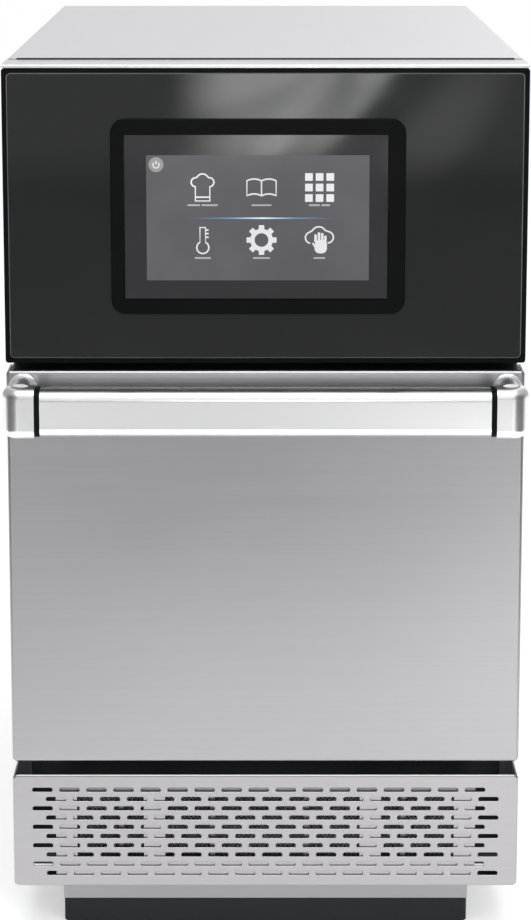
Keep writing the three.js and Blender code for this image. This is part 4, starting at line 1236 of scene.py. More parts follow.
@dataclass
class Casing(Assembly):
    """The sheet-metal casing: top cover, sides, back, base and feet."""

    screws: Fastener
    sheet: float = 1.2 * MM
    bend: float = 3.0 * MM
    side_screw_rise: float = 26 * MM
    side_screw_inset: float = 22 * MM
    back_screw_inset: float = 9 * MM
    back_screws_up: int = 5

    def top_cover(self) -> None:
        """Make the folded top cover."""
        low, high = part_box("top_cover")
        cover = Bench.block("top_cover_sheet", low, high)
        Bench.rounded(cover, every(along(Axis.Y), at(Axis.Z, high.z)), self.bend, steps=8)
        Bench.dropped(cover, some(facing(Axis.Z, -1), along(Axis.Y)))
        Bench.thickened(cover, self.sheet)
        Bench.smoothed(Bench.eased(cover, SHEET_EDGE))
        dressed(cover, self.finishes.casing)
        delivered(cover, Body.CASING, Slot.CASING_STEEL, "top_cover")

    def side_screws(self, side: Side) -> None:
        """Make the screws that hold one side panel.

        Args:
            side: The panel's side.
        """
        low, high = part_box(f"{side.value}_side_panel")
        sign, x = (-1, low.x) if side is Side.LEFT else (1, high.x)
        inset = self.side_screw_inset
        ys = [low.y + inset, (low.y + high.y) / 2, high.y - inset]
        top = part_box("top_cover")[0].z - inset / 2
        places = [(x, y, z) for y in ys for z in (low.z + self.side_screw_rise / 2, top)]
        row = self.screws.row(f"{side.value}_side_screws", Axis.X, sign, places)
        dressed(row, self.finishes.zinc)
        delivered(row, Body.CASING, Slot.MACHINE_METAL)

    def back_screws(self) -> None:
        """Make the screws round the back panel."""
        low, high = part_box("back_panel")
        inset = self.back_screw_inset
        steps = self.back_screws_up - 1
        run = high.z - low.z - 4 * inset
        zs = [low.z + 2 * inset + run * step / steps for step in range(self.back_screws_up)]
        places = [(x, high.y, z) for x in (low.x + inset, high.x - inset) for z in zs]
        row = self.screws.row("back_panel_screws", Axis.Y, 1, places)
        dressed(row, self.finishes.zinc)
        delivered(row, Body.CASING, Slot.MACHINE_METAL)

    def build(self) -> None:
        """Make the casing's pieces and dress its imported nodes."""
        self.top_cover()
        for side in Side:
            self.side_screws(side)
        self.back_screws()
        redressed(self.finishes.side, "left_side_panel", "right_side_panel", "back_panel")
        # The plinth's darker steel is painted shade.
        redressed(self.finishes.plinth, "plinth")
        redressed(self.finishes.rubber, "foot_rail_front", "foot_rail_rear", "rear_spacer")
        redressed(self.finishes.plastic, "cable_gland")
        # The front frame is coated black: painted shade for the gaps above and below the door.
        redressed(self.finishes.black_steel, "front_frame")
        redressed(self.finishes.dark_steel, "base_pan", "electronics_shelf")


@dataclass
class Fascia(Assembly):
    """The control front: steel strip, black tray, glass, and the screen in its surround."""

    strip_sheet: float = 1.5 * MM
    strip_lip: float = 2.5 * MM
    strip_round: float = 0.9 * MM
    strip_drop: float = 1.0 * MM
    seam_inset: float = 7.0 * MM
    seam_gap: float = 0.2 * MM
    tray_corner: float = 2.0 * MM
    tray_border: float = 2.8 * MM
    tray_recess: float = 2.5 * MM
    tray_wall: float = 2.5 * MM
    plate: float = 2.2 * MM
    glass_corner: float = 3.0 * MM
    glass_chamfer: float = 0.7 * MM
    surround_corner: float = 10.0 * MM
    surround_round: float = 0.9 * MM
    tail_overlap: float = 1.0 * MM
    window_gap: float = 0.3 * MM
    lip: float = 4.0 * MM

    def strip(self) -> None:
        """Make the steel strip over the glass, its lip turned down in front."""
        low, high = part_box("fascia_cap")
        high.z -= self.strip_drop
        strip = Bench.block("fascia_steel_strip", (low.x, low.y, high.z - self.strip_sheet), high)
        Bench.cut(strip, Axis.Y, low.y + self.strip_lip)
        lip = every(facing(Axis.Z, -1), unless(between(Axis.Y, low.y + self.strip_lip)))
        Bench.drawn(strip, lip, (0, 0, low.z - high.z + self.strip_sheet))
        edge = every(along(Axis.X), at(Axis.Y, low.y), at(Axis.Z, high.z))
        Bench.rounded(strip, edge, self.strip_round, steps=4)
        Bench.smoothed(Bench.eased(strip, FINE_EDGE))
        dressed(strip, self.finishes.casing)
        delivered(strip, Body.CASING, Slot.CASING_STEEL, "fascia_cap")

    def seam_dark_strip(self) -> None:
        """Make the dark strip that lies in the seam between the steel strip and the top cover and
        darkens it.
        """
        strip_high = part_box("fascia_cap")[1]
        cover_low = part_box("top_cover")[0]
        tray_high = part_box("fascia_frame")[1]
        half = strip_high.x - self.seam_inset
        gap = self.seam_gap
        low = (-half, strip_high.y + gap, tray_high.z + gap)
        seal = Bench.block("seam_dark_strip", low, (half, cover_low.y - gap, strip_high.z))
        Bench.smoothed(Bench.eased(seal, SOFT_EDGE, steps=3))
        dressed(seal, self.finishes.rubber)
        delivered(seal, Body.CASING, Slot.BEZEL)

    def window(self, name: str) -> Piece:
        """Make the solid that cuts the screen surround's hole.

        Args:
            name: The cutter's name.

        Returns:
            The cutter.
        """
        low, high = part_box("screen_bezel")
        borders = (self.lip, self.lip)
        cutter = Bench.inner_block(name, "screen_bezel", borders, low.y - REACH, high.y + REACH)
        return Bench.rounded(cutter, along(Axis.Y), self.surround_corner - self.lip, steps=6)

    def tray(self) -> None:
        """Make the black tray that frames the glass."""
        low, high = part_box("fascia_frame")
        tray = Bench.block("fascia_tray", low, high)
        Bench.rounded(tray, along(Axis.Y), self.tray_corner, steps=4)
        floor = low.y + self.tray_recess
        borders = (self.tray_border, self.tray_border)
        seat = Bench.inner_block("glass_seat", "fascia_frame", borders, low.y - REACH, floor)
        Bench.opened(tray, Bench.rounded(seat, along(Axis.Y), self.glass_corner, steps=6))
        walls = (self.tray_wall, self.tray_wall)
        start = floor + self.plate
        pocket = Bench.inner_block("tray_pocket", "fascia_frame", walls, start, high.y + REACH)
        Bench.opened(tray, pocket)
        Bench.opened(tray, self.window("tray_window"))
        Bench.smoothed(Bench.eased(tray, SOFT_EDGE))
        dressed(tray, self.finishes.plastic)
        delivered(tray, Body.CASING, Slot.BEZEL, "fascia_frame")

    def glass(self) -> None:
        """Make the glass with a narrow chamfer round its edges, in a lighter grey that paints the
        edge's glint.
        """
        low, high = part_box("fascia_panel")
        glass = Bench.block("fascia_glass", low, high)
        Bench.rounded(glass, along(Axis.Y), self.glass_corner, steps=6)
        Bench.rounded(glass, rim(Axis.Y, low.y), self.glass_chamfer, steps=1)
        dressed(glass, self.finishes.glass, self.finishes.edge_glint)
        # The chamfer's faces take the lighter grey: a painted highlight along the glass's edge.
        for face in glass.data.polygons:
            face.material_index = 1 if LEAN < -face.normal.y < STRAIGHT else 0
        Bench.opened(glass, self.window("glass_window"))
        Bench.smoothed(glass, angle=20)
        delivered(glass, Body.CASING, Slot.FASCIA_GLASS, "fascia_panel")

    def surround(self) -> None:
        """Make the raised black surround of the screen."""
        low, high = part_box("screen_bezel")
        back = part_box("fascia_panel")[0].y - self.window_gap
        ring = Bench.block("screen_surround", low, (high.x, back, high.z))
        Bench.rounded(ring, along(Axis.Y), self.surround_corner, steps=12)
        Bench.rounded(ring, rim(Axis.Y, low.y), self.surround_round, steps=4)
        inset = self.lip + self.window_gap
        start = back - self.tail_overlap
        tail = Bench.inner_block("surround_tail", "screen_bezel", (inset, inset), start, high.y)
        Bench.rounded(tail, along(Axis.Y), self.surround_corner - inset, steps=6)
        Bench.joined(ring, tail)
        screen_low, screen_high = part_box("touch_glass")
        borders = (-self.window_gap, -self.window_gap)
        ends = (screen_low.y - REACH, screen_high.y + REACH)
        Bench.opened(ring, Bench.inner_block("opening", "touch_glass", borders, *ends))
        Bench.smoothed(Bench.eased(ring, FINE_EDGE))
        dressed(ring, self.finishes.plastic)
        delivered(ring, Body.CASING, Slot.BEZEL, "screen_bezel")

    def touch_glass(self) -> None:
        """Make the smoked glass that the screen shows through."""
        low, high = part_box("touch_glass")
        glass = Bench.block("touch_screen", low, high)
        Bench.rounded(glass, rim(Axis.Y, low.y), SOFT_EDGE, steps=2)
        dressed(Bench.smoothed(glass), self.finishes.screen)
        delivered(glass, Body.CASING, Slot.SCREEN_GLASS, "touch_glass")

    def build(self) -> None:
        """Make the fascia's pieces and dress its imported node."""
        self.strip()
        self.seam_dark_strip()
        self.tray()
        self.glass()
        self.surround()
        self.touch_glass()
        redressed(self.finishes.dark_steel, "display_module")


@dataclass
class ScreenPicture(Assembly):
    """What the lit screen shows: a plain ground, six generic icons and the bars under them."""

    left: float = -80.7 * MM
    right: float = 70.3 * MM
    bottom: float = 472.0 * MM
    top: float = 557.8 * MM
    ground_corner: float = 0.5 * MM
    layer: float = 0.06 * MM
    stroke: float = 1.05 * MM
    columns: Triple = (-42.6 * MM, -2.7 * MM, 36.6 * MM)
    upper_row: float = 535.8 * MM
    lower_row: float = 499.8 * MM
    upper_bars: float = 523.7 * MM
    lower_bars: float = 487.4 * MM
    bar_height: float = 1.2 * MM
    bar_corner: float = 0.35 * MM
    square_pitch: float = 7.2 * MM
    square_size: float = 5.2 * MM
    gear_radius: float = 7.7 * MM
    gear_hole: float = 4.7 * MM
    tooth_place: float = 8.4 * MM
    tooth_width: float = 3.7 * MM
    tooth_height: float = 3.6 * MM
    teeth: int = 8
    palm_corner: float = 3.4 * MM
    finger_width: float = 1.7 * MM
    finger_root: float = 1.4 * MM
    divider_rise: float = 514.8 * MM
    divider_middle: float = -2.3 * MM
    divider_reach: float = 53.5 * MM
    divider_half: float = 0.55 * MM
    divider_taper: float = 0.25
    button_across: float = -74.0 * MM
    button_up: float = 551.4 * MM
    button_radius: float = 5.1 * MM
    button_stroke: float = 0.7 * MM

    @property
    def front(self) -> float:
        """Where the glass's face is."""
        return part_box("touch_glass")[0].y

    def ground(self) -> None:
        """Make the lit ground behind the icons."""
        low = (self.left, self.front - self.layer, self.bottom)
        high = (self.right, self.front - self.layer / 2, self.top)
        ground = Bench.block("screen_ground", low, high)
        Bench.rounded(ground, along(Axis.Y), self.ground_corner, steps=4)
        dressed(ground, self.finishes.picture)
        delivered(ground, Body.CASING, Slot.SCREEN_GLASS)

    def bar(
        self, name: str, x: float, z: float, width: float, height: float, corner: float = 0.0
    ) -> Piece:
        """Make a flat bar with rounded corners on the ground.

        Args:
            name: The bar's name.
            x: Its middle across.
            z: Its middle up.
            width: Its width.
            height: Its height.
            corner: Its corners' radius, or 0 for that of the plain bars.

        Returns:
            The bar.
        """
        y = self.front - self.layer
        low = (x - width / 2, y - self.layer, z - height / 2)
        bar = Bench.block(name, low, (x + width / 2, y, z + height / 2))
        return Bench.rounded(bar, along(Axis.Y), corner or self.bar_corner, steps=5)

    def disc(self, name: str, x: float, z: float, radius: float, sides: int = 32) -> Piece:
        """Make a flat disc on the ground."""
        y = self.front - 2 * self.layer
        return Bench.rod(name, radius, Axis.Y, (x, y, z), self.layer, sides)

    def drawing(
        self, name: str, x: float, z: float, points: Sequence[Pair], closed: bool = False
    ) -> Piece:
        """Draw an icon's line.

        Args:
            name: The line's name.
            x: The icon's middle across.
            z: The icon's middle up.
            points: The line's points from that middle, in millimetres.
            closed: Whether it comes back to its start.

        Returns:
            The line.
        """
        y = self.front - 1.5 * self.layer
        places = [(x + right * MM, y, z + up * MM) for right, up in points]
        return Bench.line(name, places, self.stroke, closed)

    @staticmethod
    def arc(
        x: float, z: float, radius: float, start: float, end: float, steps: int = 12
    ) -> list[Pair]:
        """List points round part of a circle, in millimetres, between two angles in degrees."""
        turns = [math.radians(start + (end - start) * step / steps) for step in range(steps + 1)]
        return [(x + radius * math.cos(turn), z + radius * math.sin(turn)) for turn in turns]

    def cook_hat(self) -> list[Piece]:
        """Draw a cook's hat: three lobes over a band.

        Returns:
            The icon's pieces.
        """
        middle = (self.columns[0], self.upper_row)
        outline = [(-4.9, -9.2), (-4.9, 0.6)]
        outline += self.arc(-4.6, 3.6, 3.1, 250, 85)
        outline += self.arc(0.0, 5.2, 4.1, 150, 30)
        outline += self.arc(4.6, 3.6, 3.1, 95, -70)
        outline += [(4.9, 0.6), (4.9, -9.2)]
        band = [(-4.9, -6.6), (4.9, -6.6)]
        return [
            self.drawing("hat_line", *middle, outline, True),
            self.drawing("hat_band", *middle, band),
        ]

    def open_book(self) -> list[Piece]:
        """Draw an open book: two pages that meet at its spine.

        Returns:
            The icon's pieces.
        """
        middle = (self.columns[1], self.upper_row)
        top = self.arc(5.0, -4.6, 10.4, 120, 62, 10)
        foot = self.arc(5.0, -14.8, 10.4, 62, 120, 10)
        right = [(0.0, 4.4)] + top[1:] + [(9.9, -5.6)] + foot[1:]
        left = [(-across, up) for across, up in right]
        return [
            self.drawing("book_right", *middle, right, True),
            self.drawing("book_left", *middle, left, True),
        ]

    def nine_squares(self) -> list[Piece]:
        """Set nine squares in three rows.

        Returns:
            The icon's pieces.
        """
        pitch = self.square_pitch
        size = (self.square_size, self.square_size)
        pattern = self.bar("square", self.columns[2], self.upper_row, *size)
        steps = (-pitch, 0.0, pitch)
        return Bench.copies(pattern, [(across, 0.0, up) for across in steps for up in steps])

    def thermometer(self) -> list[Piece]:
        """Draw a thermometer with three marks.

        Returns:
            The icon's pieces.
        """
        middle = (self.columns[0], self.lower_row)
        outline = [(-1.9, 8.6), (-1.9, -1.6), *self.arc(0.0, -5.2, 4.1, 118, 422, 24)]
        outline += [(1.9, -1.6), (1.9, 8.6)]
        marks = [
            self.drawing(f"mark_{step}", *middle, [(1.9, up), (4.0, up)])
            for step, up in enumerate((6.9, 4.4, 1.9))
        ]
        return [self.drawing("thermometer_line", *middle, outline, True), *marks]

    def gear(self) -> list[Piece]:
        """Make a gear with its teeth and a round hole.

        Returns:
            The icon's piece.
        """
        x, z = self.columns[1], self.lower_row
        wheel = self.disc("gear_wheel", x, z, self.gear_radius, sides=48)
        shift = Matrix.Translation((x, 0, z))
        size = (self.tooth_width, self.tooth_height)
        pattern = self.bar("tooth", x, z + self.tooth_place, *size)
        for step, tooth in enumerate(Bench.copies(pattern, [ORIGIN] * self.teeth)):
            turn = Matrix.Rotation(math.tau * step / self.teeth, 4, "Y")
            Bench.joined(wheel, Bench.placed(tooth, shift @ turn @ shift.inverted()))
        start = (x, self.front - MM, z)
        hole = Bench.rod("gear_hole", self.gear_hole, Axis.Y, start, 2 * MM)
        return [Bench.opened(wheel, hole)]

    def hand_and_foam(self) -> list[Piece]:
        """Draw a cloud of foam with an open hand before it.

        Returns:
            The icon's pieces.
        """
        x, z = self.columns[2], self.lower_row
        cloud = self.arc(-5.6, 1.6, 3.9, 260, 110) + self.arc(-0.4, 4.2, 4.9, 150, 30)
        cloud += self.arc(5.6, 1.9, 3.9, 75, -90)
        palm = (x + 0.9 * MM, z - 4.5 * MM, 8.4 * MM, 9.4 * MM)
        hand = self.bar("palm", *palm, self.palm_corner)
        fingers = [(-2.6, 5.2), (-0.3, 6.6), (1.9, 6.2), (4.0, 4.4)]
        for step, (across, length) in enumerate(fingers):
            middle = (x + across * MM, z + length / 2 * MM - self.finger_root)
            size = (self.finger_width, length * MM)
            Bench.joined(hand, self.bar(f"finger_{step}", *middle, *size))
        thumb = self.drawing("thumb", x, z, [(-2.6, -5.4), (-4.6, -2.0)])
        return [self.drawing("foam_line", x, z, cloud), hand, thumb]

    def icon_bars(self) -> list[Piece]:
        """Make the short plain bars under the icons, one or two to an icon.

        Returns:
            The bars.
        """
        rows = {
            self.upper_bars: ([8.6, 11.0], [13.5], [7.4, 6.0]),
            self.lower_bars: ([11.0], [11.5], [8.0]),
        }
        gap = 1.0
        bars = []
        for height, row in rows.items():
            for column, lengths in zip(self.columns, row):
                left = -(sum(lengths) + gap * (len(lengths) - 1)) / 2
                for length in lengths:
                    place = (column + (left + length / 2) * MM, height)
                    size = (length * MM, self.bar_height)
                    bars.append(self.bar(f"bar_{len(bars)}", *place, *size))
                    left += length + gap
        return bars

    def power_button(self) -> None:
        """Make the round button in the upper corner, with its stroke mark."""
        x, z = self.button_across, self.button_up
        button = self.disc("screen_button", x, z, self.button_radius)
        Bench.rounded(button, at(Axis.Y, self.front - 2 * self.layer), self.layer / 2, steps=2)
        dressed(button, self.finishes.button)
        y = self.front - 2.5 * self.layer
        drawings = {
            "button_ring": self.arc(0, -0.2, 2.1, 130, 410, 16),
            "button_mark": [(0, 0.2), (0, 2.7)],
        }
        lines = []
        for name, points in drawings.items():
            places = [(x + right * MM, y, z + up * MM) for right, up in points]
            line = Bench.line(name, places, self.button_stroke)
            lines.append(dressed(line, self.finishes.icon))
        delivered(Bench.merged("screen_button_mark", lines), Body.CASING)
        delivered(button, Body.CASING)

    def divider(self) -> None:
        """Make the thin line between the two rows, tapered to both ends."""
        middle, height = self.divider_middle, self.divider_rise
        y = self.front - self.layer
        low = (middle - self.divider_reach, y - self.layer, height - self.divider_half)
        high = (middle + self.divider_reach, y, height + self.divider_half)
        line = Bench.block("screen_divider", low, high)
        Bench.cut(line, Axis.X, middle)
        Bench.cut(line, Axis.Z, height)
        with Bench.editing(line, Part.FACE, along(Axis.X)):
            bpy.ops.transform.resize(
                value=(1.0, 1.0, self.divider_taper), center_override=(middle, y, height)
            )
        dressed(line, self.finishes.divider)
        delivered(line, Body.CASING)

    def build(self) -> None:
        """Make the ground, the icons, the divider and the button."""
        self.ground()
        icon, bar = self.finishes.icon, self.finishes.bar
        groups = {
            "icon_hat": (self.cook_hat(), icon),
            "icon_book": (self.open_book(), icon),
            "icon_squares": (self.nine_squares(), icon),
            "icon_thermometer": (self.thermometer(), icon),
            "icon_gear": (self.gear(), icon),
            "icon_hand": (self.hand_and_foam(), icon),
            "icon_bars": (self.icon_bars(), bar),
        }
        for name, (pieces, finish) in groups.items():
            delivered(dressed(Bench.merged(name, pieces), finish), Body.CASING)
        self.divider()
        self.power_button()


@dataclass
class Door(Assembly):
    """The drop-down door: steel front, pressed inner panel with its plug, and the seal."""

    sheet: float = 1.2 * MM
    lip: float = 3.0 * MM
    corner: float = 3.2 * MM
    side_round: float = 2.6 * MM
    panel_sheet: float = 1.2 * MM
    plug_half: float = 151 * MM
    plug_bottom: float = 171 * MM
    plug_top: float = 340 * MM
    plug_corner: float = 9 * MM
    plug_round: float = 3 * MM
    seal_width: float = 7.5 * MM
    seal_corner: float = 7.5 * MM
    seal_edge: float = 0.9 * MM

    def front_skin(self) -> None:
        """Make the folded steel front."""
        low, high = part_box("door_skin")
        skin = Bench.block("door_front_skin", low, high)
        Bench.rounded(skin, along(Axis.Y), self.corner, steps=6)
        Bench.rounded(skin, rim(Axis.Y, low.y), self.side_round, steps=6)
        end = low.y + self.lip
        Bench.cut(skin, Axis.Y, end)
        folds = some(leaning(Axis.Z, 1), leaning(Axis.Z, -1))
        Bench.dropped(skin, some(facing(Axis.Y, 1), every(between(Axis.Y, end), folds)))
        Bench.thickened(skin, self.sheet)
        Bench.smoothed(skin)
        dressed(skin, self.finishes.door)
        delivered(skin, Body.DOOR, Slot.CASING_STEEL, "door_skin")

    def inner_panel(self) -> None:
        """Make the pressed panel whose plug fills the cavity's mouth."""
        low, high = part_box("door_inner_panel")
        face = low.y + self.panel_sheet
        panel = Bench.block("door_liner", low, (high.x, face, high.z))
        Bench.dropped(panel, unless(facing(Axis.Y, 1)))
        across = (Axis.X, -self.plug_half, self.plug_half)
        upward = (Axis.Z, self.plug_bottom, self.plug_top)
        for axis, start, end in (across, upward):
            Bench.cut(panel, axis, start)
            Bench.cut(panel, axis, end)
        Bench.drawn(panel, every(between(*across), between(*upward)), (0, high.y - face, 0))
        Bench.rounded(panel, along(Axis.Y), self.plug_corner, steps=6)
        Bench.rounded(panel, at(Axis.Y, high.y), self.plug_round, steps=4)
        Bench.thickened(panel, self.panel_sheet)
        dressed(Bench.smoothed(panel), self.finishes.cavity)
        delivered(panel, Body.DOOR, Slot.CAVITY_STEEL, "door_inner_panel")

    def seal(self) -> None:
        """Make the flat seal that runs round the plug."""
        low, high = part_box("door_seal")
        ring = Bench.block("door_gasket", low, high)
        Bench.rounded(ring, along(Axis.Y), self.seal_corner, steps=6)
        widths = (self.seal_width, self.seal_width)
        ends = (low.y - REACH, high.y + REACH)
        hole = Bench.inner_block("seal_hole", "door_seal", widths, *ends)
        Bench.opened(ring, Bench.rounded(hole, along(Axis.Y), self.seal_corner / 2, steps=6))
        Bench.smoothed(Bench.eased(ring, self.seal_edge, steps=3))
        dressed(ring, self.finishes.seal)
        delivered(ring, Body.DOOR, Slot.SEAL, "door_seal")

    def build(self) -> None:
        """Make the door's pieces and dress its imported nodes."""
        self.front_skin()
        self.inner_panel()
        self.seal()
        # The door body is coated black: painted shade for the gaps above and below the door.
        redressed(self.finishes.black_steel, "door_body")
        redressed(self.finishes.fibre, "door_insulation")
        pairs = {
            "hinge_bracket": self.finishes.zinc,
            "hinge_pin": self.finishes.zinc,
            "hinge_spring": self.finishes.dark_steel,
            "interlock_switch": self.finishes.plastic,
            "interlock_plunger": self.finishes.ceramic,
        }
        for node, finish in pairs.items():
            redressed(finish, *(f"{node}_{side.value}" for side in Side))


@dataclass
class Handle(Assembly):
    """The door's handle: a square grip between two cast brackets, with a black ring at each end."""

    grip_round: float = 7.0 * MM
    ring_edge: float = 0.5 * MM
    bend: float = 13.0 * MM
    edge: float = 6.8 * MM
    rise: float = 2.7 * MM
    arm_depth: float = 24.0 * MM
    back_bend: float = 7.0 * MM
    pad: float = 2.4 * MM
    pad_corner: float = 9.5 * MM
    pad_edge: float = 0.9 * MM
    pad_inset: float = 1.4 * MM
    pad_rim: float = 1.2 * MM

    def grip(self) -> None:
        """Make the grip, a bar with four rounded edges."""
        grip = Bench.block("handle_grip", *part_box("handle_tube"))
        Bench.rounded(grip, along(Axis.X), self.grip_round, steps=10)
        Bench.smoothed(Bench.eased(grip, SOFT_EDGE), angle=40)
        dressed(grip, self.finishes.handle)
        delivered(grip, Body.DOOR, Slot.HANDLE, "handle_tube")

    def ring(self, side: Side) -> None:
        """Make one of the black rings at the grip's ends.

        Args:
            side: The ring's side.
        """
        node = f"handle_gasket_{side.value}"
        ring = Bench.block(f"handle_ring_{side.value}", *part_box(node))
        Bench.rounded(ring, along(Axis.X), self.grip_round, steps=10)
        Bench.smoothed(Bench.eased(ring, self.ring_edge))
        dressed(ring, self.finishes.plastic)
        delivered(ring, Body.DOOR, Slot.BEZEL, node)

    def bracket(self) -> Piece:
        """Make the left bracket: a rounded arm on a post that stands on its foot on the door.

        Returns:
            The bracket.
        """
        low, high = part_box("handle_bracket_left")
        arm_low = Vector((low.x, low.y, low.z + self.rise))
        arm_high = Vector((high.x, low.y + self.arm_depth, high.z - self.rise))
        arm = Bench.block("handle_bracket_arm_left", arm_low, arm_high)
        outer = every(along(Axis.Z), at(Axis.X, low.x))
        Bench.rounded(arm, every(outer, at(Axis.Y, low.y)), self.bend, steps=14)
        Bench.rounded(arm, every(outer, at(Axis.Y, arm_high.y)), self.back_bend, steps=6)
        ends = some(at(Axis.Z, arm_low.z), at(Axis.Z, arm_high.z))
        Bench.rounded(arm, every(ends, unless(at(Axis.X, high.x))), self.edge, steps=6)
        inset = self.pad_inset + self.pad_rim
        foot_front = high.y - self.pad
        post = Bench.block(
            "bracket_post",
            (low.x + inset, low.y + self.bend, low.z + self.pad_rim),
            (high.x, high.y - self.pad / 2, high.z - self.pad_rim),
        )
        Bench.joined(arm, Bench.rounded(post, along(Axis.Y), self.pad_corner, steps=10))
        foot = Bench.block("bracket_foot", (low.x + self.pad_inset, foot_front, low.z), high)
        Bench.rounded(foot, along(Axis.Y), self.pad_corner, steps=10)
        Bench.rounded(foot, rim(Axis.Y, foot_front), self.pad_edge, steps=3)
        return Bench.joined(arm, foot)

    def build(self) -> None:
        """Make the grip, its rings and both brackets."""
        self.grip()
        for side in Side:
            self.ring(side)
        left = self.bracket()
        right = Bench.mirrored(left, "handle_bracket_arm_right")
        for side, bracket in zip(Side, (left, right)):
            dressed(Bench.smoothed(bracket, angle=35), self.finishes.bracket)
            delivered(bracket, Body.DOOR, Slot.BRACKET, f"handle_bracket_{side.value}")


@dataclass
class VentCover(Assembly):
    """The slotted cover under the door, with the woven filter behind it."""

    sheet: float = 1.2 * MM
    corner: float = 3.5 * MM
    side_round: float = 1.6 * MM
    flange: float = 10.0 * MM
    floor_fold: float = 26.0 * MM
    rows: int = 10
    columns: int = 17
    slot_run: float = 14.3 * MM
    slot_rise: float = 3.2 * MM
    slot_reach: float = 3.0 * MM
    slot_end: float = 0.49
    side_margin: float = 25.6 * MM
    stagger: float = 9.5 * MM
    first_drop: float = 11.1 * MM
    last_rise: float = 9.6 * MM
    frame_side: float = 15.0 * MM
    frame_border: float = 7.0 * MM
    border_depth: float = 7.2 * MM
    skirt_sheet: float = 1.2 * MM
    skirt_rise: float = 2.0 * MM
    wide_ribs: tuple[float, ...] = (-78.4 * MM, 74.0 * MM)
    wide_rib: float = 15.0 * MM
    narrow_ribs: tuple[float, ...] = (-101.8 * MM, -37.5 * MM, 28.8 * MM, 97.3 * MM)
    narrow_rib: float = 3.5 * MM
    narrow_setback: float = 2.0 * MM
    rib_depth: float = 3.6 * MM
    rib_overlap: float = 1.0 * MM
    wire: float = 0.85 * MM
    wire_pitch: float = 2.2 * MM
    wire_wave: float = 0.36 * MM

    def slots(self) -> Piece:
        """Make the cutters of all slots: one slot, repeated along two rows and up the cover.

        Returns:
            The cutters.
        """
        low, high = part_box("vent_cover")
        column_pitch = (high.x - low.x - 2 * self.side_margin) / (self.columns - 1)
        row_pitch = (high.z - low.z - self.first_drop - self.last_rise) / (self.rows - 1)
        half = Vector((self.slot_run / 2, self.slot_reach, self.slot_rise / 2))
        halves = []
        for row, shift in enumerate((-self.stagger / 2, self.stagger / 2)):
            x = low.x + self.side_margin + shift
            middle = Vector((x, low.y, high.z - self.first_drop - row * row_pitch))
            slot = Bench.block(f"slot_{row}", middle - half, middle + half)
            Bench.rounded(slot, along(Axis.Y), self.slot_rise * self.slot_end, steps=5)
            Bench.repeated(slot, self.columns, (column_pitch, 0, 0))
            halves.append(Bench.repeated(slot, self.rows // 2, (0, 0, -2 * row_pitch)))
        return Bench.merged("slots", halves)

    def pan(self) -> None:
        """Make the folded cover and cut its slots."""
        low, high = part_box("vent_cover")
        pan = Bench.block("vent_grille", low, high)
        Bench.rounded(pan, along(Axis.Y), self.corner, steps=6)
        Bench.rounded(pan, rim(Axis.Y, low.y), self.side_round, steps=4)
        inside = (low.x + self.flange, high.x - self.flange)
        floor_end = low.y + self.floor_fold
        for x in inside:
            Bench.cut(pan, Axis.X, x)
        Bench.cut(pan, Axis.Y, floor_end)
        open_back = every(facing(Axis.Y, 1), between(Axis.X, *inside))
        floor = every(between(Axis.Y, floor_end), leaning(Axis.Z, -1))
        open_top = every(leaning(Axis.Z, 1), unless(leaning(Axis.Y, -1)))
        Bench.dropped(pan, some(open_back, floor, open_top))
        Bench.thickened(pan, self.sheet)
        Bench.opened(pan, self.slots())
        Bench.smoothed(Bench.eased(pan, FINE_EDGE, steps=1), angle=25)
        dressed(pan, self.finishes.grille)
        delivered(pan, Body.VENT_COVER, Slot.CASING_STEEL, "vent_cover")

    def wires(self, name: str, lean: int) -> Piece:
        """Weave one layer of the filter: a slanted zigzag wire, repeated along the filter.

        Args:
            name: The layer's name.
            lean: 1 for wires that lean right, -1 for left.

        Returns:
            The layer.
        """
        low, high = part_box("filter_mesh")
        middle = (low + high) / 2
        rise = high.z - low.z
        step = self.wire_pitch / math.sqrt(2)
        bends = 2 * math.ceil(rise / step / 2)
        length = bends * self.wire_pitch
        wire = Bench.rod(name, self.wire / 2, Axis.X, ORIGIN, length, sides=4)
        with Bench.editing(wire, Part.EDGE, along(Axis.X)):
            bpy.ops.mesh.subdivide(number_cuts=bends - 1)
        for phase in (0, 1):
            side = lean * (1 - 2 * phase)

            def crest(place: Vector) -> bool:
                """Say whether a point stands at this phase's bends."""
                return round(place.x / self.wire_pitch) % 2 == phase

            Bench.moved(wire, crest, (0, side * self.wire_wave, 0))
        turn = Matrix.Rotation(-math.pi / 4, 4, "Y")
        lean_over = Matrix.Diagonal((lean, 1, 1, 1))
        start = Vector((low.x - lean * step, middle.y, low.z - step / 2))
        if lean > 0:
            start.x -= rise
        Bench.outward(Bench.placed(wire, Matrix.Translation(start) @ lean_over @ turn))
        Bench.cut(wire, Axis.Z, low.z, drop=-1)
        Bench.cut(wire, Axis.Z, high.z, drop=1)
        count = math.ceil((high.x - low.x + rise + 4 * step) / (2 * step))
        layer = Bench.repeated(wire, count, (2 * step, 0, 0))
        Bench.cut(layer, Axis.X, low.x, drop=-1)
        return Bench.cut(layer, Axis.X, high.x, drop=1)

    def weave(self) -> None:
        """Make the woven filter of two layers."""
        layers = [self.wires("wires_right", 1), self.wires("wires_left", -1)]
        cloth = Bench.merged("filter_weave_wires", layers)
        dressed(Bench.smoothed(cloth, angle=50), self.finishes.weave)
        delivered(cloth, Body.VENT_COVER, Slot.FILTER, "filter_mesh")

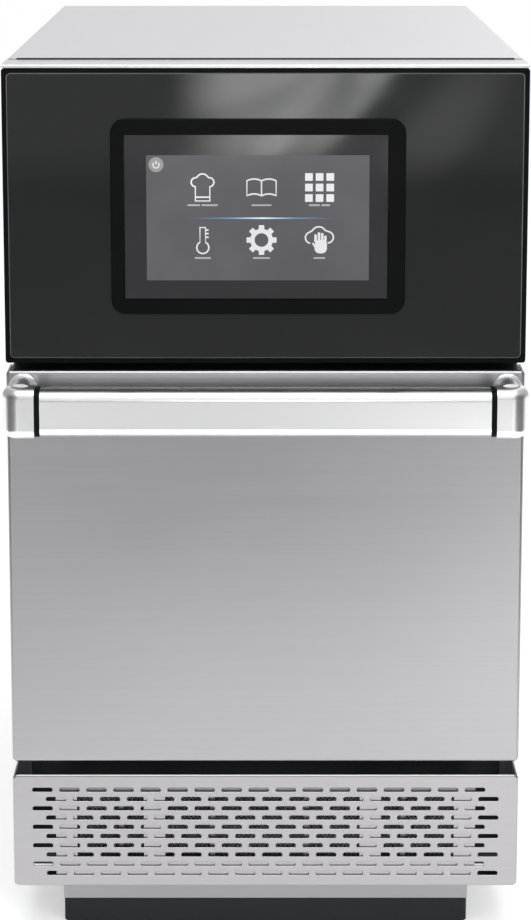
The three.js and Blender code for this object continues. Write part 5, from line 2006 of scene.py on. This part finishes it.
    def filter_tray(self) -> None:
        """Make the filter's pressed frame: a set-back border, ribs, cheeks and a skirt under it."""
        low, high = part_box("filter_frame")
        side, border = self.frame_side, self.frame_border
        tray = Bench.block("filter_tray", (low.x, high.y - self.border_depth, low.z), high)
        ends = (low.y - REACH, high.y + REACH)
        Bench.opened(tray, Bench.inner_block("tray_hole", "filter_frame", (side, border), *ends))
        foot, head = low.z + border, high.z - border
        ribs = [(x, self.wide_rib, low.y) for x in self.wide_ribs]
        ribs += [(x, self.narrow_rib, low.y + self.narrow_setback) for x in self.narrow_ribs]
        over = self.rib_overlap
        for step, (x, width, front) in enumerate(ribs):
            rib_low = (x - width / 2, front, foot - over)
            rib_high = (x + width / 2, low.y + self.rib_depth, head + over)
            Bench.joined(tray, Bench.block(f"rib_{step}", rib_low, rib_high))
        for x in (low.x, high.x - side):
            Bench.joined(tray, Bench.block("cheek", (x, low.y, foot), (x + side, high.y, head)))
        skirt_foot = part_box("vent_cover")[0].z + self.skirt_rise
        skirt_high = (high.x, low.y + self.skirt_sheet, foot)
        Bench.joined(tray, Bench.block("skirt", (low.x, low.y, skirt_foot), skirt_high))
        Bench.smoothed(Bench.eased(tray, SHEET_EDGE))
        dressed(tray, self.finishes.grille, self.finishes.filter_frame)
        # Faces behind the front plane take the darker steel: painted shade in the set-back border
        # and recesses.
        for face in tray.data.polygons:
            face.material_index = 0 if face.center.y < low.y + CLOSE else 1
        delivered(tray, Body.VENT_COVER, Slot.CASING_STEEL, "filter_frame")

    def build(self) -> None:
        """Make the cover, its filter and the filter's frame."""
        self.pan()
        self.weave()
        self.filter_tray()


@dataclass
class Interior(Assembly):
    """The cavity and the machinery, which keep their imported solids, and the cook plate."""

    plate_corner: float = 6 * MM
    plate_edge: float = 1.2 * MM
    plate_border: float = 6 * MM
    plate_well: float = 1.5 * MM

    def cook_plate(self) -> None:
        """Make the loose cook plate, with a shallow well inside its rim."""
        plate = Bench.block("cook_tray", *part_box("cook_plate"))
        Bench.rounded(plate, along(Axis.Z), self.plate_corner, steps=6)
        Bench.drawn(plate, facing(Axis.Z, 1), (0, 0, -self.plate_well), self.plate_border)
        Bench.smoothed(Bench.eased(plate, self.plate_edge, steps=3))
        dressed(plate, self.finishes.dark_steel)
        delivered(plate, Body.COOK_PLATE, Slot.DARK_STEEL, "cook_plate")

    def build(self) -> None:
        """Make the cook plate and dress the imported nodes."""
        self.cook_plate()
        finishes = self.finishes
        redressed(finishes.cavity, "cavity", "impinger_plate", "fan_guard", "fan_plenum")
        redressed(finishes.ceramic, "ceramic_floor")
        redressed(finishes.fibre, "cavity_insulation")
        redressed(finishes.zinc, "convection_fan", "cooling_fan_housing", "waveguide")
        redressed(finishes.zinc, "mode_stirrer", "magnetron", "inverter_power_supply")
        redressed(finishes.dark_steel, "fan_motor", "heater_element", "stirrer_motor")
        redressed(finishes.plastic, "cooling_fan_rotor")
        redressed(finishes.board, "mains_filter_board", "oven_controller_board")


@dataclass(frozen=True)
class Card:
    """A soft-edged card in front of the oven, for its reflections alone."""

    name: str
    place: Triple
    size: Pair
    lean: float
    glow: float
    cover: float
    softness: float = 0.7
    swing: float = 0.0

    def paint(self) -> Material:
        """Make the card's material, which fades out from its middle.

        Returns:
            The material.
        """
        material = bpy.data.materials.new(f"{self.name}_glow")
        material.use_nodes = True
        graph = Graph(material.node_tree)
        place = graph.add("TexCoord").outputs["Object"]
        ball = graph.add("TexGradient", {"Vector": place}, gradient_type="SPHERICAL")
        limits = {"Value": ball.outputs["Fac"], "From Max": self.softness, "To Max": self.cover}
        cover = graph.add("MapRange", limits, interpolation_type="SMOOTHSTEP").outputs["Result"]
        clear = graph.add("BsdfTransparent").outputs["BSDF"]
        glow = graph.add("Emission", {"Strength": self.glow}).outputs["Emission"]
        both = graph.add("MixShader", {"Fac": cover, 1: clear, 2: glow})
        graph.add("OutputMaterial", {"Surface": both.outputs["Shader"]})
        return material

    def hang(self) -> None:
        """Hang the card, which only reflections show."""
        Bench.clear()
        turn = (math.pi / 2, math.radians(self.lean), math.radians(self.swing))
        bpy.ops.mesh.primitive_plane_add(size=2.0, location=self.place, rotation=turn)
        board = bpy.context.view_layer.objects.active
        board.name = self.name
        board.scale = (self.size[0] / 2, self.size[1] / 2, 1.0)
        dressed(board, self.paint())
        board.visible_camera = False
        board.visible_diffuse = False
        board.visible_shadow = False
        board.visible_transmission = False


@dataclass(frozen=True)
class Softbox:
    """A softbox that hangs at one place and points at another."""

    name: str
    place: Triple
    size: Pair
    power: float
    aim: Triple
    mirrored: bool = False

    def hang(self) -> None:
        """Hang the softbox; reflections show it only where it is mirrored."""
        bpy.ops.object.light_add(type="AREA", location=self.place)
        light = bpy.context.view_layer.objects.active
        light.name = self.name
        light.data.shape = "RECTANGLE"
        light.data.size, light.data.size_y = self.size
        light.data.energy = self.power
        light.visible_glossy = self.mirrored
        way = Vector(self.aim) - Vector(self.place)
        light.rotation_euler = way.to_track_quat("-Z", "Y").to_euler()


@dataclass
class Studio:
    """The camera, the pale floor and the soft studio light."""

    distance: float = 1.75
    height: float = 0.782
    pitch: float = 9.55
    lens: float = 102.1
    shift: float = -0.22
    sight: float = 100.0
    floor_size: float = 30.0
    floor_tone: float = 0.93
    floor_change: float = 0.005
    floor_cloud: float = 3.0
    floor_rough: float = 0.9
    floor_sheen: float = 0.1
    floor_lift: float = 0.38
    surround: float = 1.25
    # How bright the air is from the left, at -1, to the right, at 1.
    air: tuple[Pair, ...] = (
        (-1.0, 0.3),
        (-0.5, 0.34),
        (-0.2, 0.6),
        (0.0, 0.66),
        (0.2, 0.95),
        (0.5, 0.42),
        (1.0, 0.3),
    )
    softboxes: tuple[Softbox, ...] = (
        Softbox("overhead_softbox", (0.0, -0.9, 2.0), (1.6, 1.2), 17.0, (0.0, -0.1, 0.4), True),
        Softbox("right_softbox", (1.9, -2.3, 1.2), (1.2, 1.6), 26.0, (0.1, -0.25, 0.3)),
        Softbox("left_softbox", (-2.0, -2.0, 1.3), (0.9, 1.4), 8.0, (0.0, -0.25, 0.3)),
    )
    # Each with its place, size, lean in degrees, glow, cover, softness and swing in degrees.
    cards: tuple[Card, ...] = (
        Card("broad_glow", (0.0, -1.2, 0.505), (0.21, 0.2), -30.0, 6.4, 0.85),
        Card("first_streak", (0.03, -1.2, 0.475), (0.34, 0.05), -50.0, 7.0, 0.85),
        Card("second_streak", (0.094, -1.2, 0.5), (0.26, 0.05), -50.0, 5.5, 0.85),
        Card("right_haze", (0.18, -1.2, 0.46), (0.26, 0.1), -50.0, 1.6, 0.7),
        Card("door_dimmer", (-0.1, -1.0, 0.12), (1.2, 0.27), 0.0, 0.25, 0.85),
        Card("screen_glow", (-0.01, -1.2, 0.445), (0.24, 0.1), -20.0, 4.4, 0.8, 1.0),
        Card("fascia_dimmer", (0.04, -1.0, 0.342), (1.6, 0.28), 0.0, 0.3, 0.8, 0.4),
        Card("upper_dimmer", (0.0, -1.25, 0.48), (1.8, 0.3), 0.0, 0.3, 0.5, 0.5),
        Card("left_shade", (-0.26, -0.6, 0.05), (0.44, 0.34), 0.0, 0.4, 0.32, 1.0),
        Card("right_glow", (0.25, -0.6, 0.085), (0.36, 0.34), 0.0, 1.65, 0.8),
        Card("left_flag", (-0.75, -0.9, 0.3), (1.5, 1.3), 0.0, 0.12, 1.0, 0.3, 90.0),
        Card("right_flag", (0.75, -0.9, 0.3), (1.5, 1.3), 0.0, 0.12, 1.0, 0.3, 90.0),
    )

    def camera(self) -> None:
        """Set the camera where the photograph's was."""
        place = (0.0, CAD_FRONT - self.distance, self.height)
        turn = (math.radians(90 - self.pitch), 0, 0)
        bpy.ops.object.camera_add(location=place, rotation=turn)
        camera = bpy.context.view_layer.objects.active
        camera.data.lens = self.lens
        camera.data.shift_y = self.shift
        camera.data.clip_end = self.sight
        bpy.context.scene.camera = camera

    def floor(self) -> None:
        """Lay the pale floor."""
        Bench.clear()
        bpy.ops.mesh.primitive_plane_add(size=self.floor_size, location=(0, 0, 0))
        floor = bpy.context.view_layer.objects.active
        floor.name = "studio_floor"
        recipe = Recipe("floor_paint")
        cloud = recipe.cloud(self.floor_cloud)
        recipe.surface(
            {
                "Base Color": recipe.toned(cloud, (self.floor_tone,) * 3, self.floor_change),
                "Roughness": self.floor_rough,
                "Specular IOR Level": self.floor_sheen,
                "Emission Color": WHITE,
                "Emission Strength": self.floor_lift,
            }
        )
        dressed(floor, recipe.material)

    def surroundings(self) -> None:
        """Light the scene from all round, with white air behind the oven."""
        world = bpy.data.worlds.new("studio_air")
        bpy.context.scene.world = world
        world.use_nodes = True
        graph = Graph(world.node_tree)
        way = graph.add("TexCoord").outputs["Generated"]
        across = graph.add("SeparateXYZ", {"Vector": way}).outputs["X"]
        share = graph.add("MapRange", {"Value": across, "From Min": -1.0}).outputs["Result"]
        stops = [((side + 1) / 2, (level,) * 3) for side, level in self.air]
        tones = graph.colours(share, stops, Blend.SOFT)
        light = graph.add("Background", {"Color": tones, "Strength": self.surround})
        sight = graph.add("Background", {"Color": WHITE, "Strength": 1.0})
        seen = graph.add("LightPath").outputs["Is Camera Ray"]
        ends = {1: light.outputs["Background"], 2: sight.outputs["Background"]}
        both = graph.add("MixShader", {"Fac": seen, **ends})
        graph.add("OutputWorld", {"Surface": both.outputs["Shader"]})

    def build(self) -> None:
        """Set up the whole studio."""
        bpy.context.scene.view_settings.view_transform = "Standard"
        self.camera()
        self.floor()
        self.surroundings()
        for fitting in (*self.softboxes, *self.cards):
            fitting.hang()


def main() -> None:
    """Build the studio, then the oven from the outside in."""
    logging.basicConfig(level=logging.INFO, format="%(name)s: %(message)s")
    Studio().build()
    finishes = Finishes.made()
    assemblies: list[Assembly] = [
        Casing(finishes, Fastener()),
        Fascia(finishes),
        ScreenPicture(finishes),
        Door(finishes),
        Handle(finishes),
        VentCover(finishes),
        Interior(finishes),
    ]
    for assembly in assemblies:
        assembly.build()
        LOG.info("%s is done", type(assembly).__name__)


if __name__ == "__main__":
    main()
